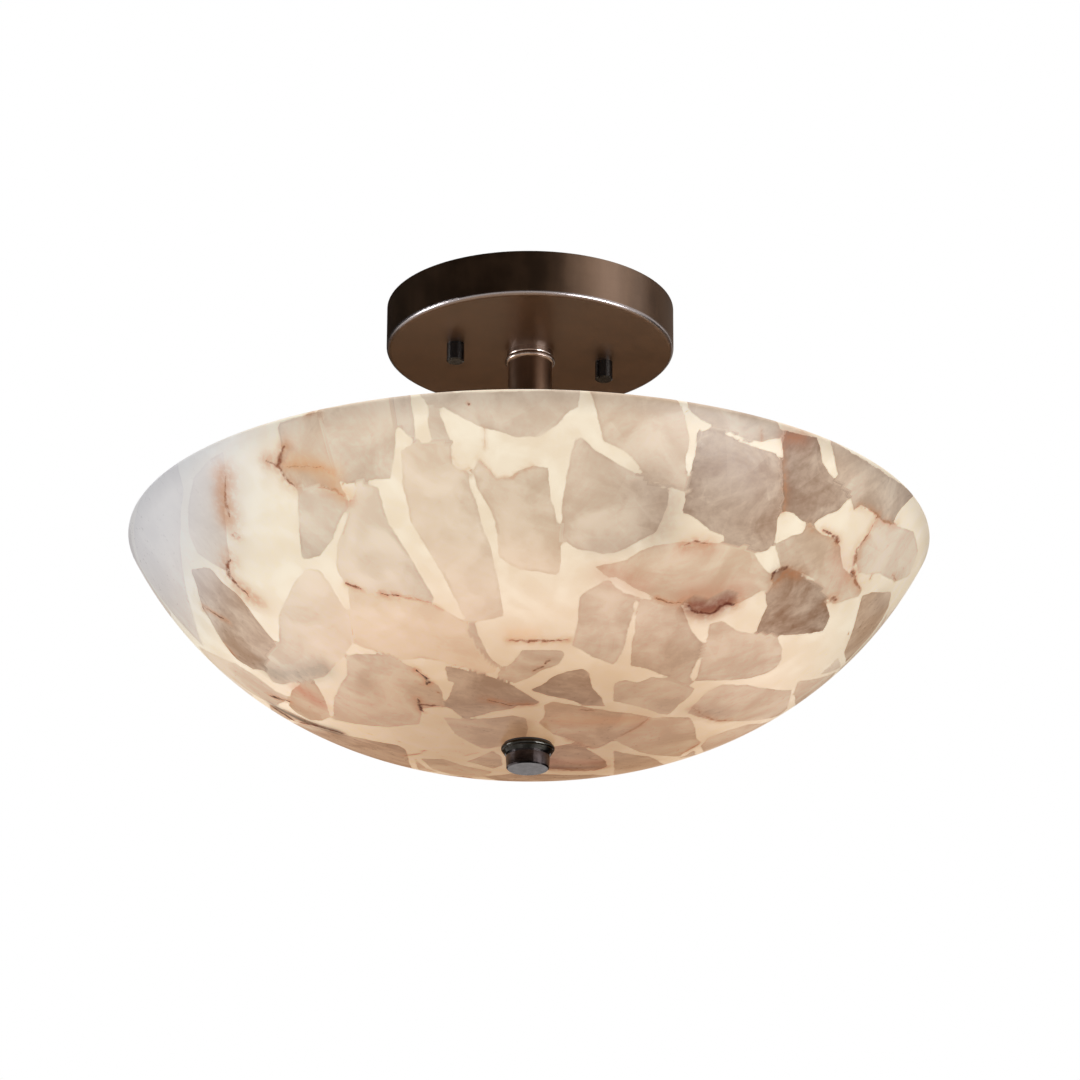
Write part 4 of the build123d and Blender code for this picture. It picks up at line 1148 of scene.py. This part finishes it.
    def photographed_patches(self):
        """The discoloured patches and the patch of painted shade that the photograph shows, the
        strongest on top.
        """
        for tint, strength, reach, pixels in patches:
            chosen, flat, line = self.flattened(pixels, 3 * reach * mm)
            amount = strength * np.exp(-((to_line(flat, line) / (reach * mm)) ** 2))
            wins = amount > self.patch[chosen, 3]
            rows = chosen[wins]
            self.patch[rows, :3] = tint
            self.patch[rows, 3] = amount[wins]


def seam_lines():
    """All photographed seams, as uneven lines of points on the skin."""
    chance = random.Random(11)
    lines = []
    for _, _, _, pixels in seams:
        line = np.array([on_skin(pixel) for pixel in pixels])
        lines.append(to_skin(wander(line, chance, seam_stray)))
    return lines


def bowl_mesh():
    """The bowl as a smooth mesh, finer along the seams."""
    profile = bowl_profile()
    turn = np.linspace(0, 2 * pi, columns, endpoint=False)
    points = np.concatenate(
        [np.stack([x * np.cos(turn), x * np.sin(turn), np.full(columns, z)], 1) for x, z in profile]
    )
    row = np.arange(len(profile))[:, None] * columns
    column = np.arange(columns)[None]
    after = np.roll(row, -1)
    beside = (column + 1) % columns
    faces = np.stack([row + column, row + beside, after + beside, after + column], 2).reshape(-1, 4)
    mesh = bpy.data.meshes.new("stone_bowl")
    mesh.from_pydata(points.tolist(), [], faces.tolist())
    refine(mesh, points)
    mesh.shade_smooth()
    return mesh


def refine(mesh, points):
    """Splits the outer faces near seams in three each way, and puts the new points on the skin."""
    bm = bmesh.new()
    bm.from_mesh(mesh)
    bm.verts.ensure_lookup_table()
    close = np.zeros(len(points), bool)
    outer = (foot_rows + outer_rows + 1) * columns
    for line in seam_lines():
        centre = line.mean(0)
        size = np.linalg.norm(line - centre, axis=1).max()
        chosen = np.flatnonzero(np.linalg.norm(points[:outer] - centre, axis=1) < size + fine_reach)
        close[chosen[to_line(points[chosen], line) < fine_reach]] = True
    edges = [e for e in bm.edges if close[e.verts[0].index] and close[e.verts[1].index]]
    bmesh.ops.subdivide_edges(bm, edges=edges, cuts=2, use_grid_fill=True)
    bm.verts.ensure_lookup_table()
    # the new points lie on flat faces, a hair inside the round skin
    for vertex in bm.verts[len(points):]:
        place = to_skin(np.array([vertex.co]))[0]
        if np.linalg.norm(place - np.array(vertex.co)) < 0.2 * mm:
            vertex.co = place
    bm.normal_update()
    bm.to_mesh(mesh)
    bm.free()


def store(mesh, name, kind, values):
    """Keeps values on a mesh's points under a name."""
    layer = mesh.attributes.new(name, kind, "POINT")
    field = {"FLOAT": "value", "FLOAT_VECTOR": "vector", "FLOAT_COLOR": "color"}[kind]
    layer.data.foreach_set(field, np.asarray(values, np.float32).ravel())


def ragged_edge(finish):
    """How far inside the slightly ragged edge of its stone a point lies, in mm."""
    edge = finish.times(finish.attribute("stone_edge").outputs["Fac"], 1 / mm)
    wobble = finish.ragged(8 * mm, 1.5, 2)
    teeth = finish.ragged(2.4 * mm, 0.8, 2, 0.5)
    return finish.plus(edge, finish.plus(wobble, teeth))


def stone_look(finish, depth, uneven):
    """A stone's colour, with clouds, slanting layers, facets, pale veins and a darker thin rim, and
    its fine crystals."""
    tint = finish.attribute("stone_tint").outputs["Color"]
    grain = finish.attribute("stone_grain").outputs["Vector"]
    clouds = finish.noise(26 * mm, 5, 0.58, 0.7, place=grain)
    layers = finish.noise(1.0, 4, 0.6, 0.9, place=finish.stretch((40, 130, 26), grain, (0.5, 0.3, 0.8)))
    crystals = finish.noise(2.6 * mm, 3, 0.6, place=grain)
    facets = finish.channel(finish.cells(17 * mm, place=grain).outputs["Color"])
    tone = finish.total((0.67, clouds), (0.2, layers), (0.09, crystals), (0.04, facets))
    darker = finish.mix(1.0, tint, (0.87, 0.84, 0.815), "MULTIPLY")
    lighter = finish.mix(0.4, tint, linear(246, 231, 211))
    color = finish.mix(finish.step(tone, 0.36, 0.64), darker, lighter)
    veins = finish.cells(15 * mm, "DISTANCE_TO_EDGE", grain).outputs["Distance"]
    vein = finish.times(finish.step(veins, 0.0, 0.05, 1.0, 0.0), finish.step(clouds, 0.5, 0.62))
    color = finish.mix(finish.times(vein, 0.13), color, linear(245, 230, 210))
    rim = finish.times(finish.step(depth, 0.0, 0.5), finish.step(depth, 0.4, 1.8, 1.0, 0.0))
    color = finish.mix(finish.times(rim, finish.times(uneven, 0.16)), color, linear(150, 112, 84))
    return color, crystals


def resin_color(finish):
    """Warm cream resin, with faint deeper stones showing through."""
    deep = finish.cells(21 * mm, "DISTANCE_TO_EDGE").outputs["Distance"]
    haze = finish.noise(17 * mm, 4, 0.6)
    color = finish.mix(finish.step(haze, 0.35, 0.65), linear(241, 225, 201), linear(249, 237, 216))
    return finish.mix(finish.times(finish.step(deep, 0.05, 0.16), 0.3), color, linear(234, 215, 189))


def seam_look(finish, spots):
    """How strongly a dark seam shows, and its colour."""
    depth = finish.attribute("seam_depth").outputs["Fac"]
    seam = finish.plus(finish.attribute("seam").outputs["Fac"], finish.ragged(1.1 * mm, 1.3, 3))
    strength = finish.times(finish.step(depth, 0.2, 0.9), finish.step(spots, 0.34, 0.58, 0.3, 1.0))
    color = finish.ramp(
        depth,
        (0.35, linear(198, 142, 98)),
        (0.7, linear(152, 88, 54)),
        (0.88, linear(112, 56, 38)),
        (1.0, linear(58, 28, 22)),
    )
    return finish.times(finish.step(seam, 0.15, 1.5, 1.0, 0.0), strength), color


def light_through(finish, place):
    """The lamps' light through the wall: strongest low on the sides, browner at the foot, and weaker
    at the rim, on the inside and at the two ends of the row of lamps."""
    height = finish.calc("DIVIDE", finish.minus(place[2], foot_z), rim_z - foot_z)
    light = finish.ramp(
        height,
        (0.0, (0.5, 0.33, 0.21)),
        (0.08, (0.7, 0.53, 0.4)),
        (0.23, (0.92, 0.8, 0.73)),
        (0.5, (0.82, 0.79, 0.74)),
        (0.9, (0.75, 0.73, 0.69)),
        (1.0, (0.38, 0.36, 0.34)),
    )
    ends = finish.step(finish.calc("ABSOLUTE", place[0]), 80 * mm, 178 * mm, 0.0, 0.4)
    light = finish.mix(ends, light, (0.12, 0.12, 0.12))
    wall_depth = finish.attribute("wall_depth").outputs["Fac"]
    return finish.mix(finish.step(wall_depth, 0.3, 0.9), light, (0.3, 0.27, 0.22))


def stone_resin():
    """Polished stone pieces in cream resin, lit from within."""
    finish = Finish("stone_resin", Specular_IOR_Level=0.14, Emission_Strength=0.86)
    uneven = finish.step(finish.noise(12 * mm, 2), 0.4, 0.6)
    depth = ragged_edge(finish)
    stone = finish.step(depth, -0.25, 0.3)
    stone_color, crystals = stone_look(finish, depth, uneven)
    color = finish.mix(stone, resin_color(finish), stone_color)
    joint = finish.step(finish.attribute("stone_joint").outputs["Fac"], 0.3, 1.0, 1.0, 0.0)
    joint = finish.times(joint, finish.step(uneven, 0.0, 1.0, 0.25, 0.6))
    color = finish.mix(joint, color, linear(196, 160, 126))

    # toward one end of the row of lamps, on the left limb, a pale cool sheen of light is painted over
    # the stones
    place = finish.add("ShaderNodeSeparateXYZ", Vector=finish.place).outputs
    painted_cool_sheen = finish.step(finish.times(place[0], -1.0), 130 * mm, 172 * mm, 0.0, 0.8)
    color = finish.mix(painted_cool_sheen, color, linear(204, 201, 202))

    # brown glow, discoloured patches with one of painted shade, and dark seams
    spots = finish.noise(3.4 * mm, 4, 0.62)
    glow = finish.attribute("seam_glow").outputs["Fac"]
    glow = finish.times(finish.times(glow, finish.step(spots, 0.3, 0.6, 0.3, 1.0)), 0.62)
    color = finish.mix(glow, color, linear(190, 122, 66))
    patch = finish.attribute("patch").outputs
    stain_and_shade = finish.times(patch["Alpha"], finish.step(spots, 0.3, 0.62, 0.8, 1.0))
    color = finish.mix(stain_and_shade, color, finish.mix(0.22, patch["Color"], color))
    core, seam_color = seam_look(finish, spots)
    color = finish.mix(core, color, seam_color)

    height = finish.minus(finish.times(crystals, 0.2), core)
    rough = finish.step(crystals, 0.3, 0.7, 0.27, 0.36)
    finish.set(
        Base_Color=color,
        Emission_Color=finish.mix(1.0, color, light_through(finish, place), "MULTIPLY"),
        Roughness=finish.plus(rough, finish.times(core, 0.25)),
        Normal=finish.bump(height, 0.1 * mm, 0.4, finish.bump(stone, 0.04 * mm, 0.3)),
    )
    return finish.material


def make_bowl():
    """The bowl, with what each of its points shows kept for its material."""
    mesh = bowl_mesh()
    points = np.empty(len(mesh.vertices) * 3)
    mesh.vertices.foreach_get("co", points)
    skin = Skin(points.reshape(-1, 3))
    skin.photographed_stones()
    skin.hidden_stones()
    joint = skin.join()
    skin.photographed_seams()
    skin.photographed_patches()
    numbers = {
        "wall_depth": skin.depth,
        "stone_edge": skin.edge,
        "stone_joint": joint,
        "seam": skin.seam,
        "seam_depth": skin.seam_depth,
        "seam_glow": skin.glow,
    }
    for name, values in numbers.items():
        store(mesh, name, "FLOAT", values)
    store(mesh, "stone_tint", "FLOAT_COLOR", np.hstack([skin.tint, np.ones((len(skin.tint), 1))]))
    store(mesh, "stone_grain", "FLOAT_VECTOR", skin.grain)
    store(mesh, "patch", "FLOAT_COLOR", skin.patch)
    mesh.materials.append(stone_resin())
    bowl = put("stone_bowl", mesh)
    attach(bowl, "bowl_group")
    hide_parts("bowl")


# ---------------------------------------------------------------- screw threads and ribs

rod_bore_radius = 3.2 * mm
pipe_pitch = 0.94 * mm  # 27 threads to the inch
stud_pitch = 0.79 * mm  # 32 threads to the inch
thread_depth = 0.55  # of the pitch
thread_columns = 40
thread_rows = 7  # for each turn of a thread
connector_start = 20.0 * mm  # from the axis to the mouth of a twist-on connector
connector_ribs = 14
connector_rib_depth = 0.45 * mm
connector_columns = 8 * connector_ribs
# along a connector, from the end of its bore out over its mouth to its tip: the distance from the
# mouth and the radius in mm, and whether the ribs show there
connector_profile = [
    (11.0, 2.15, 0), (0.0, 2.15, 0), (0.0, 6.2, 0), (1.0, 6.6, 0), (5.0, 6.4, 0), (5.8, 6.27, 1),
    (12.0, 5.3, 1), (18.2, 4.32, 1), (19.0, 4.2, 0), (21.0, 3.1, 0), (22.0, 2.6, 0),
]


def skin_piece(name, node, runs, closed):
    """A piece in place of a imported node: skins through runs of rings of points.

    Each skin's ends are capped, or joined to each other if closed.
    """
    points, faces = [], []
    for rings in runs:
        first, size = len(points), len(rings[0])
        points += [tuple(place) for ring in rings for place in ring]
        for row in range(len(rings) if closed else len(rings) - 1):
            here = first + row * size
            after = first + (row + 1) % len(rings) * size
            for column in range(size):
                beside = (column + 1) % size
                faces.append((here + column, here + beside, after + beside, after + column))
        if not closed:
            faces.append(tuple(range(first + size - 1, first - 1, -1)))
            faces.append(tuple(range(len(points) - size, len(points))))
    mesh = bpy.data.meshes.new(name)
    mesh.from_pydata(points, [], faces)
    mesh.shade_smooth()
    mesh.set_sharp_from_angle(angle=radians(38))
    mesh.materials.append(frame["nodes"][node].data.materials[0])
    piece = put(name, mesh)
    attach(piece, "fixture")
    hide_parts(node)


def thread_rings(x, radius, low, high, pitch):
    """Rings up an upright rod at x, which follow a screw thread and narrow at the ends."""
    turns = np.linspace(0, 2 * pi, thread_columns, endpoint=False)
    rings = []
    for z in np.linspace(low, high, round((high - low) / pitch * thread_rows)):
        wave = np.abs(2 * ((z / pitch - turns / (2 * pi)) % 1.0) - 1)
        cut = np.clip(1.4 * wave - 0.2, 0, 1)  # flat crests and roots
        end = np.clip(1 - min(z - low, high - z) / pitch, 0, 1)
        here = radius - thread_depth * pitch * np.maximum(cut, end)
        level = np.full(thread_columns, z)
        rings.append(np.stack([x + here * np.cos(turns), here * np.sin(turns), level], 1))
    return rings


def make_threads():
    """The screw threads of the pipe that carries the bowl and of the canopy's two studs."""
    low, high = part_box("bottom_rod")
    rings = thread_rings(0, high.y, low.z, high.z, pipe_pitch)
    # the pipe's skin goes back down through its bore
    for z in (high.z, low.z):
        ring = np.array(rings[0])
        ring[:, :2] *= rod_bore_radius / np.linalg.norm(ring[:, :2], axis=1)[:, None]
        ring[:, 2] = z
        rings.append(ring)
    skin_piece("threaded_rod", "bottom_rod", [rings], closed=True)
    low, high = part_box("strap_studs")
    stud_radius = high.y
    places = (low.x + stud_radius, high.x - stud_radius)
    runs = [thread_rings(x, stud_radius, low.z, high.z, stud_pitch) for x in places]
    skin_piece("threaded_studs", "strap_studs", runs, closed=False)


def make_connectors():
    """The two ribbed twist-on wire connectors."""
    turns = np.linspace(0, 2 * pi, connector_columns, endpoint=False)
    wave = 0.5 - 0.5 * np.cos(turns * connector_ribs)
    for color, side in (("black", 1), ("white", -1)):
        node = f"wire_connector_{color}"
        low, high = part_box(node)
        middle_z = (low.z + high.z) / 2
        rings = []
        for along, radius, ribbed in connector_profile:
            here = radius * mm - ribbed * connector_rib_depth * wave
            y = np.full(connector_columns, side * (connector_start + along * mm))
            rings.append(np.stack([side * here * np.sin(turns), y, middle_z + here * np.cos(turns)], 1))
        skin_piece(f"ribbed_connector_{color}", node, [rings], closed=False)


# ---------------------------------------------------------------- studio

floor_z = -2.4
floor_half = 7.0
floor_fade = (3.4, 6.8)  # where the floor begins to fade out, and where it has
light_middle = Vector((0, 0, -0.11))
board_panels = 7


def seen_directly(nodes):
    """1 for camera, glossy and transmission rays, and 0 for the rays that light surfaces."""
    path = nodes.add("ShaderNodeLightPath").outputs
    seen = nodes.calc("MAXIMUM", path["Is Camera Ray"], path["Is Glossy Ray"])
    return nodes.calc("MAXIMUM", seen, path["Is Transmission Ray"])


def make_world(fill):
    """A white surround that lights the object evenly with the given strength."""
    world = bpy.data.worlds.new("studio")
    bpy.context.scene.world = world
    world.use_nodes = True
    nodes = Nodes(world.node_tree)
    soft = nodes.add("ShaderNodeBackground", Color=(0.93, 0.96, 1.0), Strength=fill).outputs[0]
    white = nodes.add("ShaderNodeBackground", Color=(1, 1, 1), Strength=1.0).outputs[0]
    surround = nodes.choose(seen_directly(nodes), soft, white)
    nodes.plug(world.node_tree.nodes["World Output"].inputs["Surface"], surround)


def make_floor():
    """A plain pale floor under the light, which shows its shadow and fades out far away."""
    mesh = bpy.data.meshes.new("floor")
    corners = [(-1, -1), (1, -1), (1, 1), (-1, 1)]
    mesh.from_pydata([(x * floor_half, y * floor_half, floor_z) for x, y in corners], [], [(0, 1, 2, 3)])
    finish = Finish("floor", Base_Color=(0.82, 0.81, 0.8), Roughness=0.9)
    dim = finish.add("ShaderNodeBsdfDiffuse", Color=(0.14, 0.12, 0.1)).outputs[0]
    glow = finish.add("ShaderNodeEmission", Strength=0.35).outputs[0]
    white = finish.add("ShaderNodeEmission", Strength=1.0).outputs[0]
    pale = finish.join(finish.add("ShaderNodeAddShader"), finish.shader.outputs[0], glow)
    away = finish.add("ShaderNodeVectorMath", {"operation": "LENGTH"}, Vector=finish.place)
    shown = finish.choose(finish.step(away.outputs["Value"], *floor_fade), pale, white)
    finish.surface(finish.choose(seen_directly(finish), dim, shown))
    mesh.materials.append(finish.material)
    floor = put("floor", mesh)


def around(azimuth, elevation, distance):
    """A place seen from the light's middle: azimuth 0 is toward -Y and 90 toward +X, in degrees."""
    a, e = radians(azimuth), radians(elevation)
    return light_middle + Vector((sin(a) * cos(e), -cos(a) * cos(e), sin(e))) * distance


def softbox(name, azimuth, elevation, distance, width, height, power, color, lights=True, shines=True):
    """A rectangular soft lamp that faces the object, which lights matt surfaces, shows in shiny
    ones, or does both."""
    data = bpy.data.lights.new(name, "AREA")
    data.shape = "RECTANGLE"
    data.size = width
    data.size_y = height
    data.energy = power
    data.color = color
    lamp = put(name, data)
    lamp.visible_diffuse = lights
    lamp.visible_glossy = shines
    lamp.location = around(azimuth, elevation, distance)
    lamp.rotation_euler = (light_middle - lamp.location).to_track_quat("-Z", "Y").to_euler()


def make_board(name, first, last, low, high, distance, color):
    """A bent board that only shiny surfaces see, for the dark parts of their reflections. It goes
    from a first to a last azimuth and from a low to a high elevation."""
    turns = np.linspace(first, last, board_panels + 1)
    points = [around(azimuth, elevation, distance) for elevation in (low, high) for azimuth in turns]
    row = board_panels + 1
    faces = [(i, i + 1, i + 1 + row, i + row) for i in range(board_panels)]
    mesh = bpy.data.meshes.new(name)
    mesh.from_pydata(points, [], faces)
    finish = Finish(name)
    path = finish.add("ShaderNodeLightPath").outputs
    clear = finish.add("ShaderNodeBsdfTransparent").outputs[0]
    plain = finish.add("ShaderNodeEmission", Color=color).outputs[0]
    finish.surface(finish.choose(path["Is Glossy Ray"], clear, plain))
    mesh.materials.append(finish.material)
    board = put(name, mesh)


def make_studio():
    """The surround, the floor, the boards that metal mirrors, and the lamps."""
    make_world(0.66)
    make_floor()
    make_board("dark_board", -198, 14, -4, 60, 2.0, (0.012, 0.011, 0.01))
    make_board("right_board", 86, 162, 6, 44, 2.0, (0.16, 0.13, 0.11))
    make_board("warm_board", 108, 218, -24, 8, 0.6, (0.12, 0.08, 0.05))
    make_board("low_board", -112, 126, -86, -52, 2.0, (0.02, 0.018, 0.016))
    make_board("low_side_board", 84, 132, -50, -10, 2.0, (0.02, 0.018, 0.016))
    softbox("key_right", 48, 21, 2.4, 1.0, 1.2, 5, (0.88, 0.94, 1.0), lights=False)
    softbox("low_right", 40, -31, 2.4, 1.6, 0.7, 70, (0.86, 0.93, 1.0), lights=False)
    softbox("edge_left", -104, -14, 2.4, 1.0, 0.4, 20, (0.86, 0.93, 1.0), lights=False)
    softbox("side_right", 70, 15, 2.4, 0.9, 1.2, 9, (1.0, 0.97, 0.95), shines=False)
    softbox("fill_left", -108, 6, 2.4, 0.9, 1.2, 26, (0.72, 0.86, 1.0), shines=False)
    softbox("top_front", -20, 62, 2.6, 1.2, 1.2, 9, (1.0, 0.98, 0.95), shines=False)


# ---------------------------------------------------------------- assembly

dress_nodes()
make_bowl()
make_threads()
make_connectors()
make_studio()
